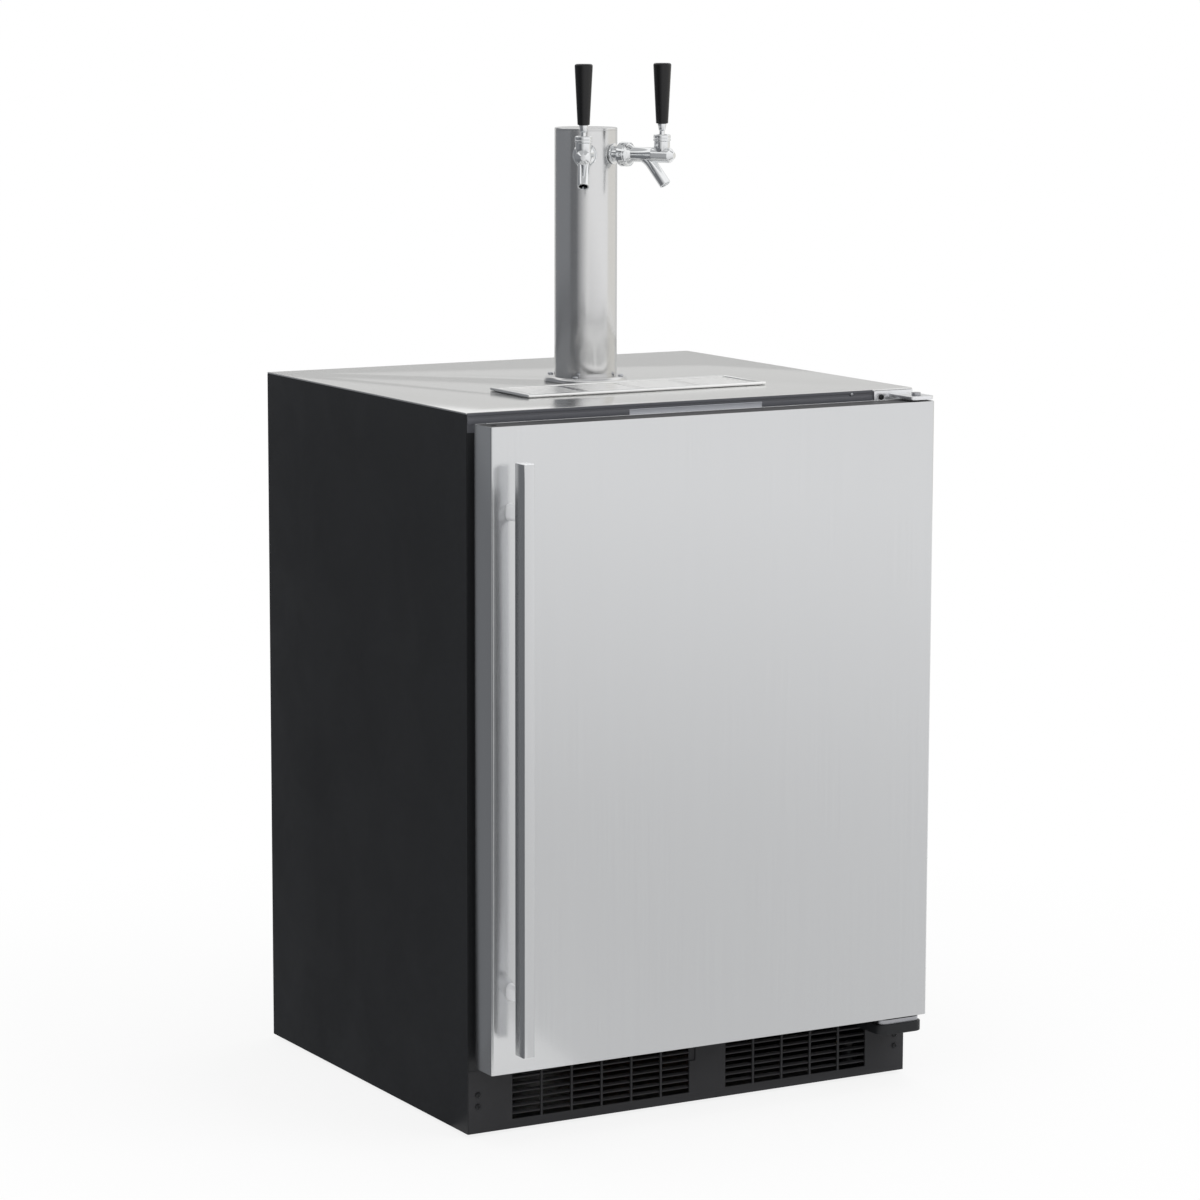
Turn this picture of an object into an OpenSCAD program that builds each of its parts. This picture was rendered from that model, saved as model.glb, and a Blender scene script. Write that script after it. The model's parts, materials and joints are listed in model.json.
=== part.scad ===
// Draft beer dispenser: an undercounter cabinet with a right-hinged steel door and a two-faucet tower.
// X is the width, the front faces -Y, Z is up. The origin is under the middle, on the floor.

/* [Cabinet] */
// Width over both side panels
cab_w = 606; // [570:1:660]
// Depth from the front plane to the back
cab_d = 532; // [510:1:620]
// Height from the lower edge of the side panels to the worktop
cab_h = 845; // [800:1:900]
// Thickness of the painted sheet
sheet = 1.2; // [0.8:0.1:2]
// Thickness of the worktop
top_t = 2; // [1:0.5:4]
// Thickness of the base pan
base_t = 2; // [1.5:0.5:4]
// Thickness of the side walls, liner included
wall_w = 50; // [40:1:60]
// Thickness of the rear wall, liner included
rear_w = 50; // [40:1:60]
// Wall of the inner liner
liner_t = 2.5; // [1.5:0.5:4]
// Depth of the step over the machine bay
step_d = 153; // [145:1:175]
// Height of the step over the machine bay
step_h = 156; // [140:1:180]
// Foam under the cavity floor
floor_foam = 30; // [15:1:32]
// Foam between the cavity and the machine bay
bay_foam = 20; // [10:1:25]

/* [Front] */
// Depth of the frame round the door opening
frame_t = 10; // [6:1:14]
// Height of the header above the frame
header_h = 21; // [18:1:26]
// Height of the raised band along the header
band_h = 7; // [5:0.5:9]
// How far the band stands proud of the header
band_proud = 1.2; // [0.5:0.1:1.5]
// Top of the band below the worktop's surface
band_drop = 6.5; // [6:0.5:9]
// Width of the control panel in the band
panel_w = 180; // [120:1:240]
// How deep the control panel is set into the header
panel_set = 2; // [1:0.5:4]
// Frame rail above the cavity
head_rail = 30; // [24:1:40]
// Frame rail below the cavity
sill_rail = 35; // [32:1:45]
// Height of the toe grille
grille_h = 75; // [72:1:90]
// Thickness of the toe grille
grille_t = 3; // [2:0.5:5]
// Width of one vent column
vent_w = 38; // [30:0.5:39]
// Spacing of the vent columns
vent_pitch = 40.5; // [40:0.5:43]
// Left end of the left vent group
vent_left_x = -244; // [-252:1:-238]
// Left end of the right vent group
vent_right_x = 47; // [38:1:55]
// Lowest edge of the vents above the grille's lower edge
vent_low = 11; // [6:0.5:12]
// Spacing of the vent slots
slot_pitch = 8.6; // [7:0.1:8.7]
// Height of a vent slot
slot_h = 5; // [3:0.5:6]

/* [Door] */
// Door edge in from the cabinet's side
door_reveal = 3; // [1:0.5:6]
// Thickness of the door
door_t = 40; // [34:1:50]
// Gap between door and cabinet, filled by the gasket
door_gap = 14; // [12:0.5:16]
// Top of the door below the worktop's surface
door_drop = 11.3; // [10:0.1:13]
// Door's lower edge above the toe grille
door_rise = 7.7; // [6:0.1:12]
// Sheet of the door skin
skin_t = 1; // [0.8:0.1:1.5]
// Outer radius of the skin's front folds
fold_r = 3; // [2:0.5:5]
// Width of the skin's rear returns
return_w = 14; // [10:1:18]
// Height of the end caps
cap_h = 16; // [14:1:24]
// Depth of the door liner's raised panel
dike_h = 20; // [10:1:26]
// Raised panel in from the cavity walls
dike_in = 14; // [12:1:20]
// Width of the gasket
gasket_w = 17; // [12:1:18]
// Gasket in from the skin's returns
gasket_in = 2; // [1:0.5:3]

/* [Handle] */
// Length of the handle bar
bar_l = 685; // [600:1:720]
// Face width of the handle bar
bar_w = 14; // [10:0.5:18]
// Depth of the handle bar
bar_d = 22; // [16:1:30]
// Gap between the bar and the door
bar_gap = 23; // [18:1:32]
// Bar in from the door's left edge
bar_in = 18; // [15:1:40]
// Middle of the bar below the middle of the door
bar_drop = 5; // [0:0.5:12]
// Height of a handle post
post_h = 19; // [15:0.5:24]
// Distance between the handle posts
post_span = 557; // [500:1:600]

/* [Hinges] */
// Hinge axis in from the door's right edge
hinge_in = 14; // [12:0.5:16]
// Radius of the hinge pins
pin_r = 4; // [3:0.5:5]
// Depth of the pins in the door
pin_in = 14; // [10:0.5:15]
// Outer radius of the hinge bushes
bush_r = 7.5; // [6.5:0.5:9]
// Thickness of the top hinge plate
plate_t = 4; // [3:0.5:5]
// Top hinge plate above the door
plate_gap = 1.8; // [1:0.1:2.4]
// Thickness of the top bracket's flange on the header
flange_leg_t = 2.5; // [2:0.1:2.8]
// Reach of the hinge brackets in front of the cabinet
bracket_reach = 52; // [48:1:56]
// Thickness of the lower hinge plate
low_plate_t = 6; // [4:0.5:8]
// Lower hinge plate below the door
low_gap = 2.5; // [2:0.1:5]
// Height of the lower bracket's body
bracket_h = 12; // [9:1:18]

/* [Tower] */
// Outer radius of the column, three inches across
tower_r = 38.1; // [36:0.1:45]
// Wall of the column
tower_wall = 1.6; // [1:0.1:2.5]
// Height of the tower above the worktop
tower_h = 307; // [300:1:360]
// Tower axis behind the cabinet's front plane
tower_set = 264; // [250:1:290]
// Radius of the base flange
flange_r = 51; // [50:0.5:60]
// Thickness of the base flange
flange_t = 6; // [4:0.5:10]
// Thickness of the tower cap
tower_cap_t = 3; // [2:0.5:6]

/* [Faucets] */
// Angle of each faucet from the front
faucet_a = 30.8; // [28:0.1:38]
// Faucet axis below the top of the tower
faucet_drop = 31; // [26:1:44]
// Lever axis from the tower axis
lever_l = 105.3; // [102:0.1:114]
// Radius of the shank
shank_r = 9.5; // [8.5:0.1:11]
// Inner end of the shank from the tower axis
shank_in = 26; // [24:0.5:27]
// Bend radius of the shank's elbow
elbow_r = 9; // [7:0.5:10]
// Bare shank between the collar and the coupling nut
shank_show = 8; // [5:0.5:10]
// Radius of the coupling nut
nut_r = 14.8; // [14.4:0.1:17]
// Length of the coupling nut
nut_l = 12.5; // [12:0.5:16]
// Radius of the faucet's barrel
barrel_r = 9; // [8.6:0.1:10]
// Radius of the spout
spout_r = 7; // [6:0.1:7.6]
// Slope of the spout below the level
spout_a = 52; // [48:1:60]
// Spout tip in front of the lever axis
spout_fwd = 5; // [2:0.5:8]
// Spout tip below the faucet axis
spout_drop = 35; // [33:0.5:38]
// Lever pivot above the faucet axis
pivot_rise = 19; // [18:0.5:20]
// Radius of the bonnet
bonnet_r = 10.5; // [10.2:0.1:12]
// Height of the bonnet
bonnet_h = 8; // [7.5:0.1:9]
// Radius of the lever's ball
ball_r = 5.6; // [5:0.1:5.8]
// Radius of the lever's trunnions
trunnion_r = 1.8; // [1.5:0.1:1.9]
// Radius of the lever's stem
stem_r = 3.2; // [2.5:0.1:3.4]
// Underside of the tap handle above the lever pivot
handle_rise = 19; // [17:0.5:26]
// Length of the tap handle
handle_l = 72; // [60:1:120]
// Radius of the tap handle at its foot
handle_foot_r = 7.35; // [6.5:0.05:9]
// Radius of the tap handle at its top
handle_top_r = 10.85; // [9:0.05:14]

/* [Drip tray] */
// Width of the drip tray over its rim
tray_w = 328; // [280:1:400]
// Depth of the drip tray over its rim
tray_d = 97; // [80:1:100]
// Tray rim in front of the tower flange
tray_gap = 8; // [2:0.5:12]
// Width of the tray's rim
rim_w = 5; // [3:0.5:8]
// Height of the tray's rim above the worktop
rim_h = 4; // [3:0.5:6]
// Depth of the tray below the worktop
pan_depth = 16; // [10:1:24]
// Sheet of the tray and the grate
tray_t = 1.2; // [0.8:0.1:2]
// Spacing of the grate's slots
grate_pitch = 11; // [8:0.5:16]
// Width of a slot in the grate
grate_slot = 4; // [3:0.5:6]

/* [Machine bay] */
// Radius of the compressor
comp_r = 72; // [60:1:76]
// Height of the compressor
comp_h = 170; // [140:1:180]
// Radius of the condenser fan
fan_r = 70; // [60:1:74]
// Width of the condenser
cond_w = 220; // [190:1:230]
// Height of the condenser
cond_h = 170; // [160:1:185]
// Thickness of the condenser
cond_t = 40; // [30:1:42]
// Radius of the cooling fan in the cavity
cool_fan_r = 54; // [45:1:58]
// Width of the evaporator cover
cover_w = 294; // [280:1:300]
// Height of the evaporator cover
cover_h = 340; // [330:1:360]
// Depth of the evaporator cover
cover_d = 46; // [44:1:48]
// Radius of the foot pads
foot_r = 20; // [15:1:25]
// Radius of the levelling screws
stud_r = 5; // [4:0.5:6]
// Height that the feet show below the cabinet
foot_show = 4; // [3:0.5:12]

/* [Gas] */
// Radius of the gas cylinder
bottle_r = 62; // [55:1:66]
// Height of the gas cylinder's straight body
bottle_h = 330; // [280:1:340]
// Radius of the gauges
gauge_r = 24; // [20:1:25]
// Radius of the regulator body
reg_r = 22; // [18:1:24]
// Radius of the cylinder's hand wheel
wheel_r = 22; // [18:1:26]

/* [Fits] */
// Radial running clearance of pins and shafts
run_c = 0.05; // [0.03:0.01:0.1]
// Clearance between a moving piece and its seat
seat_c = 0.3; // [0.2:0.05:0.4]
// Clearance round pieces that drop or slide in
slide_c = 0.8; // [0.4:0.1:1.5]
// Hair seam between butted panels
seam_c = 0.05; // [0.03:0.01:0.1]

/* [Hidden] */
$fn = 48;
BLACK = [0.16, 0.165, 0.175];
STEEL = [0.78, 0.78, 0.77];
CHROME = [0.85, 0.86, 0.88];
ZINC = [0.7, 0.71, 0.73];
GREY = [0.5, 0.51, 0.53];
WHITE = [0.9, 0.91, 0.92];
FOAM = [0.93, 0.87, 0.68];
RUBBER = [0.1, 0.1, 0.1];
BRASS = [0.72, 0.58, 0.3];
COPPER = [0.72, 0.45, 0.3];

// depth, with the origin under the middle of everything
total_d = cab_d + door_gap + door_t + bar_gap + bar_d;
back_y = total_d / 2;
front_y = back_y - cab_d;
door_back_y = front_y - door_gap;
door_front_y = door_back_y - door_t;
bar_back_y = door_front_y - bar_gap;
frame_back_y = front_y + frame_t;
inside_back_y = back_y - sheet;
cavity_back_y = back_y - rear_w;
step_y = cavity_back_y - step_d;
bay_y = step_y + liner_t + bay_foam;
tower_y = front_y + tower_set;

// width
inside_x = cab_w / 2 - sheet;
cavity_x = cab_w / 2 - wall_w;
liner_x = cavity_x + liner_t;
door_x = cab_w / 2 - door_reveal;
return_x = door_x - return_w;
gasket_x = return_x - gasket_in;

// height
low_z = foot_show;
base_z = low_z + base_t;
top_z = low_z + cab_h;
under_top_z = top_z - top_t;
header_z = under_top_z - header_h;
grille_z = low_z + grille_h;
ceiling_z = header_z - head_rail;
floor_z = grille_z + sill_rail;
foam_z = floor_z - liner_t - floor_foam;
step_z = floor_z + step_h;
bay_top_z = step_z - liner_t - bay_foam;
door_z = grille_z + door_rise;
door_top_z = top_z - door_drop;
door_mid_z = (door_z + door_top_z) / 2;
gasket_edge = 12;
gasket_low_z = door_z + gasket_edge;
gasket_top_z = header_z - gasket_edge / 2;

// fasteners
screw_r = 2;
screw_l = 6;
screw_head_r = 3.5;
screw_head_h = 2.2;
grille_screw_x = inside_x - 12;
grille_screw_z = [low_z + 32, low_z + 46];
header_screw_x = 216;
header_screw_r = 1.2;
header_head_r = 1.9;
flange_screws = 4;
flange_screw_r = (tower_r + flange_r) / 2;

// header band and control panel
band_top_z = top_z - band_drop;
band_z = band_top_z - band_h;
panel_proud = 0.3;
header_screw_z = (band_top_z + under_top_z) / 2;

// toe grille
vent_rows = 7;
left_vents = 6;
right_vents = 5;
vent_z = low_z + vent_low;
bar_set = 0.6;
bar_back = 3;
sensor_w = 10;
sensor_h = 17;
sensor_z = low_z + 50;

// hinges
hinge_x = door_x - hinge_in;
hinge_y = door_back_y - door_t / 2;
top_plate_z = door_top_z + plate_gap;
low_plate_z = door_z - low_gap - low_plate_t;
leg_side = 39;
plate_side = 18;
plate_over = 2;
low_side = 51;
low_over = 12;
low_corner = 12;
leg_drop = 9;
leg_x = hinge_x - leg_side;
hinge_end_x = door_x + plate_over;
plate_x = hinge_x - plate_side;
low_leg_x = hinge_x - low_side;
low_end_x = hinge_x + low_over;
leg_z = top_plate_z - leg_drop;
hinge_screw_side = 10;
hinge_screw_x = leg_x + hinge_screw_side;
hinge_screw_z = top_plate_z;

// tower
passage_rim = 10;
passage_r = tower_r - passage_rim;
spigot_play = 0.1;
spigot_r = tower_r - tower_wall - spigot_play;

// faucet, along its axis from the tower axis outward
collar_t = 2.4;
collar_r = 12.5;
nut_start = tower_r + seat_c + collar_t + shank_show;
nut_lip = 2;
shank_lip_l = nut_start + nut_lip + 0.1;
shank_lip_t = 2.5;
shank_play = 0.2;
shank_lip_r = nut_r - 1.7;
shank_bore_r = 3.5;
stub_l = shank_lip_l + shank_lip_t + 0.4;
stub_r = nut_r - 1.4;
nut_bore_r = stub_r + 0.1;
nut_end = nut_start + nut_l;
seat_l = stub_l + 16;
rear_bore_r = 7.8;
chamber_r = 6.4;
chamber_l = lever_l + 8;
barrel_l = lever_l + 12;
nose_l = lever_l + 17;
nose_r = 7.5;
nose_tip_r = 3.5;
boss_r = bonnet_r - 0.9;
boss_top = pivot_rise - trunnion_r - 0.2;
boss_bore_r = 7;
locknut_l = 28.5;
locknut_t = 4.5;
locknut_r = 14;
line_l = shank_in - elbow_r;
line_r = 4.75;
line_bore_r = 2.4;
line_in = 8;
elbow_tube_r = 4;
faucet_z = top_z + tower_h - faucet_drop;
spout_bore_r = spout_r - 1.8;
spout_run = spout_drop / sin(spout_a);
spout_l = lever_l + spout_fwd - spout_run * cos(spout_a);

// lever and valve
lever_arm = 16.5;
arm_r = 1.8;
tip_r = 2.2;
trunnion_l = 8;
stud_thread_r = 4.5;
stud_thread_l = 12;
ferrule_l = 8;
ferrule_r = 5.4;
rod_r = 4.2;
rod_end = lever_l + 6;
seal_r = 7.1;
seal_t = 3;
tip_play = 0.6;

// drip tray
tray_back_y = tower_y - flange_r - tray_gap;
tray_front_y = tray_back_y - tray_d;
pan_x = tray_w / 2 - rim_w;
pan_front_y = tray_front_y + rim_w;
pan_back_y = tray_back_y - rim_w;
pan_z = top_z - pan_depth;
grate_x = pan_x - tray_t - slide_c;
grate_front_y = pan_front_y + tray_t + slide_c;
grate_back_y = pan_back_y - tray_t - slide_c;
grate_drop = 1.4;
grate_top_z = top_z + rim_h - grate_drop;
grate_columns = 4;
grate_edge = 8;
grate_web = 8;

// machine bay
comp_side = 26;
comp_x = comp_side + comp_r - cavity_x;
comp_y = (bay_y + inside_back_y) / 2;
comp_foot_h = 14;
cond_x = 20;
cond_y = bay_y + 10;
cond_back_y = cond_y + cond_t;
fan_x = cond_x + cond_w / 2;
fan_z = base_z + cond_h / 2;
duct_l = 26;
duct_r = fan_r + 4;
spider_t = 5;
motor_r = 22;
motor_l = 30;
shaft_r = 3;
hub_r = 16;
hub_h = 18;
fan_gap = 2;
fan_y = cond_back_y + 4;
spider_y = cond_back_y + duct_l;
cool_motor_l = 16;
cool_hub_y = cavity_back_y - cool_motor_l - fan_gap - hub_h;
cover_x = -cavity_x + 25;
cover_top_z = ceiling_z - 20;
cover_z = cover_top_z - cover_h;
cover_t = 2;
cool_fan_x = cover_x + cover_w / 2;
cool_fan_z = cover_top_z - 90;
coil_z = cover_z + 15;
coil_h = 150;
foot_x = inside_x - 44;
foot_front_y = front_y + 52;
foot_back_y = back_y - 52;
foot_nut_r = stud_r + 5;
foot_nut_h = 22;
gland_x = 12 - cavity_x;
gland_z = base_z + 30;
gland_r = 11;
gland_l = 24;
gland_bore_r = 4.2;

// gas
bottle_x = cavity_x - 25 - bottle_r;
bottle_y = cavity_back_y - step_d / 2;
shoulder_h = 42;
neck_r = 16;
neck_z = step_z + bottle_h + shoulder_h;
valve_h = 40;
valve_r = 12;
outlet_rise = 22;
outlet_z = neck_z + outlet_rise;
outlet_r = 9;
outlet_l = 18;
neck_gap = 22;
outlet_end_x = bottle_x - valve_r - outlet_l;
reg_x = outlet_end_x - neck_gap - reg_r;
reg_l = 34;
reg_front_y = bottle_y - reg_l / 2;
spindle_r = 4;
wheel_h = 12;
wheel_z = neck_z + valve_h + fan_gap;
knob_r = 14;
knob_l = 20;
gauge_t = 20;
gauge_gap = 6;
gauge_off = reg_r + gauge_r + gauge_gap;
gauge_stem_r = 5;
gauge_in = 2;
cone_l = 10;
cone_in = 2;

// points along an arc about [x, y]
function arc(x, y, r, from, to, steps = 6) =
    [for (i = [0:steps]) let (a = from + (to - from) * i / steps) [x + r * cos(a), y + r * sin(a)]];

// a box between two corners
module box(x0, x1, y0, y1, z0, z1) {
    translate([x0, y0, z0]) cube([x1 - x0, y1 - y0, z1 - z0]);
}

// a tube along Z
module tube(r, bore, h) {
    difference() {
        cylinder(r = r, h = h);
        translate([0, 0, -1]) cylinder(r = bore, h = h + 2);
    }
}

// a cylinder along +Y from y0 to y1
module rod_y(x, y0, y1, z, r) {
    translate([x, y1, z]) rotate([90, 0, 0]) cylinder(r = r, h = y1 - y0);
}

// a cylinder along +X from x0 to x1
module rod_x(x0, x1, y, z, r) {
    translate([x0, y, z]) rotate([0, 90, 0]) cylinder(r = r, h = x1 - x0);
}

// a rounded rectangle about its middle
module round_rect(w, h, r) {
    polygon(concat(
        arc(w / 2 - r, h / 2 - r, r, 0, 90),
        arc(r - w / 2, h / 2 - r, r, 90, 180),
        arc(r - w / 2, r - h / 2, r, 180, 270),
        arc(w / 2 - r, r - h / 2, r, 270, 360)
    ));
}

// a screw whose head bears on a face towards -Y
module screw_front(x, y, z, l, head = screw_head_r, shank = screw_r) {
    rod_y(x, y - screw_head_h, y, z, head);
    rod_y(x, y, y + l, z, shank);
}

// faucet frame: local Z runs outward from the tower axis, local Y is up
module at_faucet(side) {
    translate([0, tower_y, faucet_z]) rotate([0, 0, side * faucet_a]) rotate([90, 0, 0]) children();
}

module at_both_faucets() {
    for (side = [-1, 1]) at_faucet(side) children();
}

// a cylinder along the faucet's axis
module along(from, to, r) {
    translate([0, 0, from]) cylinder(r = r, h = to - from);
}

// a cylinder upward from the faucet's axis at the lever
module upright(from, to, r1, r2) {
    translate([0, from, lever_l]) rotate([-90, 0, 0]) cylinder(r1 = r1, r2 = r2, h = to - from);
}

module side_sheet(side) {
    x = side > 0 ? inside_x : -cab_w / 2;
    box(x, x + sheet, front_y, back_y, low_z, under_top_z);
}

module left_side_panel() {
    color(BLACK) side_sheet(-1);
}

module right_side_panel() {
    color(BLACK) side_sheet(1);
}

module rear_panel() {
    slot_w = 140;
    slot_t = 5;
    slots = 9;
    pitch = 14;
    first_z = base_z + 40;
    color(BLACK) difference() {
        box(-inside_x, inside_x, inside_back_y, back_y, base_z, under_top_z);
        for (x = [comp_x, fan_x])
            for (i = [0:slots - 1])
                translate([x - slot_w / 2, inside_back_y - 1, first_z + i * pitch])
                    cube([slot_w, sheet + 2, slot_t]);
        rod_y(gland_x, inside_back_y - 1, back_y + 1, gland_z, gland_r);
    }
}

module base_pan() {
    color(BLACK) difference() {
        union() {
            box(-inside_x, inside_x, front_y + grille_t, back_y, low_z, base_z);
            at_feet() translate([0, 0, base_z]) cylinder(r = foot_nut_r, h = foot_nut_h);
        }
        at_feet() translate([0, 0, low_z - 1])
            cylinder(r = stud_r + run_c, h = base_t + foot_nut_h + 2);
    }
}

module at_feet() {
    for (x = [-foot_x, foot_x]) for (y = [foot_front_y, foot_back_y]) translate([x, y, 0]) children();
}

module top_panel() {
    cut = slide_c;
    color(STEEL) difference() {
        box(-cab_w / 2, cab_w / 2, front_y, back_y, under_top_z, top_z);
        box(-pan_x - cut, pan_x + cut, pan_front_y - cut, pan_back_y + cut, under_top_z - 1, top_z + 1);
        translate([0, tower_y, under_top_z - 1]) cylinder(r = passage_r, h = top_t + 2);
        at_flange_screws() translate([0, 0, under_top_z - 1]) cylinder(r = screw_r, h = top_t + 2);
    }
}

module at_flange_screws() {
    for (i = [0:flange_screws - 1])
        translate([0, tower_y, 0]) rotate([0, 0, 45 + i * 360 / flange_screws])
            translate([flange_screw_r, 0, 0]) children();
}

module front_frame() {
    color(BLACK) difference() {
        box(-inside_x, inside_x, front_y, frame_back_y, grille_z, header_z);
        box(-cavity_x, cavity_x, front_y - 1, frame_back_y + 1, floor_z, ceiling_z);
    }
}

module front_header() {
    color(BLACK) difference() {
        union() {
            box(-inside_x, inside_x, front_y, frame_back_y, header_z, under_top_z);
            box(-inside_x, leg_x - 1, front_y - band_proud, front_y + 1, band_z, band_top_z);
        }
        box(-panel_w / 2, panel_w / 2, front_y - band_proud - 1, front_y + panel_set, band_z, band_top_z);
        rod_y(header_screw_x, front_y - 1, front_y + screw_l, header_screw_z, header_screw_r);
        rod_y(hinge_screw_x, front_y - 1, front_y + screw_l, hinge_screw_z, screw_r);
    }
}

module control_panel() {
    color(GREY) box(-panel_w / 2, panel_w / 2, front_y - band_proud - panel_proud, front_y + panel_set,
        band_z, band_top_z);
}

// butted panels: ceiling, side walls before and above the step, back wall, floor, riser and step top
module inner_liner() {
    back = cavity_back_y + liner_t;
    low = floor_z - liner_t;
    step_low = step_z - liner_t;
    wall_top = ceiling_z - seam_c;
    span = cavity_x - seam_c;
    color(WHITE) {
        difference() {
            box(-liner_x, liner_x, frame_back_y, back, ceiling_z, ceiling_z + liner_t);
            at_lines() translate([0, 0, ceiling_z - 1]) cylinder(r = line_r, h = liner_t + 2);
        }
        for (x = [-liner_x, cavity_x]) {
            box(x, x + liner_t, frame_back_y, step_y, low, wall_top);
            box(x, x + liner_t, step_y + seam_c, back, step_low, wall_top);
        }
        box(-span, span, cavity_back_y, back, step_low, wall_top);
        box(-span, span, frame_back_y, step_y - seam_c, low, floor_z);
        box(-span, span, step_y, step_y + liner_t, low, step_low - seam_c);
        box(-span, span, step_y, cavity_back_y - seam_c, step_low, step_z);
    }
}

// the two vertical beer lines under the shank elbows
module at_lines() {
    for (side = [-1, 1])
        translate([side * line_l * sin(faucet_a), tower_y - line_l * cos(faucet_a), 0]) children();
}

module cabinet_insulation() {
    pocket = 4;
    color(FOAM) {
        for (side = [-1, 1])
            box(side > 0 ? liner_x : -inside_x, side > 0 ? inside_x : -liner_x, frame_back_y,
                inside_back_y, foam_z, under_top_z);
        box(-liner_x, liner_x, cavity_back_y + liner_t, inside_back_y, step_z - liner_t,
            ceiling_z + liner_t);
        difference() {
            box(-liner_x, liner_x, frame_back_y, inside_back_y, ceiling_z + liner_t, under_top_z);
            box(-pan_x - pocket, pan_x + pocket, pan_front_y - pocket, pan_back_y + pocket,
                pan_z - pocket, top_z);
            at_lines() translate([0, 0, ceiling_z]) cylinder(r = line_r, h = top_z - ceiling_z);
        }
        box(-liner_x, liner_x, frame_back_y, step_y + liner_t, foam_z, floor_z - liner_t);
        box(-liner_x, liner_x, step_y + liner_t, bay_y, foam_z, step_z - liner_t);
        box(-liner_x, liner_x, bay_y, inside_back_y, bay_top_z, step_z - liner_t);
    }
}

// one group of vent columns, as windows to cut
module vent_windows(x, count) {
    for (i = [0:count - 1])
        box(x + i * vent_pitch, x + i * vent_pitch + vent_w, front_y - 1, front_y + grille_t + 1,
            vent_z, vent_z + vent_rows * slot_pitch - slot_pitch + slot_h);
}

// the bars between the slots of one group
module vent_bars(x, count) {
    for (row = [1:vent_rows - 1])
        box(x - 1, x + count * vent_pitch, front_y + bar_set, front_y + grille_t + bar_back,
            vent_z + row * slot_pitch - slot_pitch + slot_h, vent_z + row * slot_pitch);
}

module toe_grille() {
    color(BLACK) difference() {
        union() {
            difference() {
                box(-inside_x, inside_x, front_y, front_y + grille_t, low_z, grille_z);
                vent_windows(vent_left_x, left_vents);
                vent_windows(vent_right_x, right_vents);
            }
            vent_bars(vent_left_x, left_vents);
            vent_bars(vent_right_x, right_vents);
        }
        box(-sensor_w / 2, sensor_w / 2, front_y - 1, front_y + grille_t / 2, sensor_z,
            sensor_z + sensor_h);
        for (side = [-1, 1])
            for (z = grille_screw_z)
                rod_y(side * grille_screw_x, front_y - 1, front_y + grille_t + 1, z, screw_r);
    }
}

module cabinet_screws() {
    color(ZINC) {
        for (side = [-1, 1])
            for (z = grille_screw_z) screw_front(side * grille_screw_x, front_y, z, grille_t);
        screw_front(header_screw_x, front_y, header_screw_z, screw_l, header_head_r, header_screw_r);
        screw_front(hinge_screw_x, front_y - flange_leg_t, hinge_screw_z, flange_leg_t + screw_l);
        at_flange_screws() {
            translate([0, 0, under_top_z]) cylinder(r = screw_r, h = top_t + flange_t);
            translate([0, 0, top_z + flange_t]) cylinder(r = screw_head_r, h = screw_head_h);
        }
    }
}

module levelling_foot(x, y) {
    color(RUBBER) translate([x, y, 0]) {
        cylinder(r = foot_r, h = foot_show - seat_c);
        cylinder(r = stud_r, h = base_z + foot_nut_h + 6);
    }
}

module foot_front_left() {
    levelling_foot(-foot_x, foot_front_y);
}

module foot_front_right() {
    levelling_foot(foot_x, foot_front_y);
}

module foot_rear_left() {
    levelling_foot(-foot_x, foot_back_y);
}

module foot_rear_right() {
    levelling_foot(foot_x, foot_back_y);
}

module top_hinge_bracket() {
    corner = 8;
    color(ZINC) difference() {
        union() {
            box(leg_x, hinge_end_x, front_y - flange_leg_t, front_y, leg_z, under_top_z);
            translate([0, 0, top_plate_z]) linear_extrude(plate_t) polygon(concat(
                [[hinge_end_x, front_y], [plate_x, front_y]],
                arc(plate_x + corner, front_y - bracket_reach + corner, corner, 180, 270),
                arc(hinge_end_x - corner, front_y - bracket_reach + corner, corner, 270, 360)
            ));
        }
        translate([hinge_x, hinge_y, top_plate_z - 1]) cylinder(r = pin_r, h = plate_t + 2);
        rod_y(hinge_screw_x, front_y - flange_leg_t - 1, front_y + 1, hinge_screw_z, screw_r);
    }
}

module low_bracket_outline(inset) {
    corner = low_corner - inset;
    polygon(concat(
        [[low_end_x - inset, front_y], [low_leg_x + inset, front_y]],
        arc(low_leg_x + inset + corner, front_y - bracket_reach + inset + corner, corner, 180, 270),
        arc(low_end_x - inset - corner, front_y - bracket_reach + inset + corner, corner, 270, 360)
    ));
}

module bottom_hinge_bracket() {
    wall = 4;
    bottom = low_plate_z - bracket_h;
    color(BLACK) difference() {
        translate([0, 0, bottom]) linear_extrude(bracket_h) low_bracket_outline(0);
        difference() {
            translate([0, 0, bottom - 1]) linear_extrude(bracket_h - wall) low_bracket_outline(wall);
            box(low_leg_x, low_end_x, front_y - wall, front_y, bottom - 2, low_plate_z);
        }
    }
}

module hinge_pins() {
    plate_in = 3;
    head_rim = 1.5;
    color(ZINC) {
        translate([hinge_x, hinge_y, door_top_z - pin_in])
            cylinder(r = pin_r, h = pin_in + plate_gap + plate_t);
        translate([hinge_x, hinge_y, top_plate_z + plate_t])
            cylinder(r = pin_r + head_rim, h = under_top_z - top_plate_z - plate_t);
        translate([0, 0, low_plate_z])
            linear_extrude(low_plate_t) low_bracket_outline(plate_in);
        translate([hinge_x, hinge_y, low_plate_z + low_plate_t - 1])
            cylinder(r = pin_r, h = low_gap + pin_in + 1);
    }
}

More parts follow.
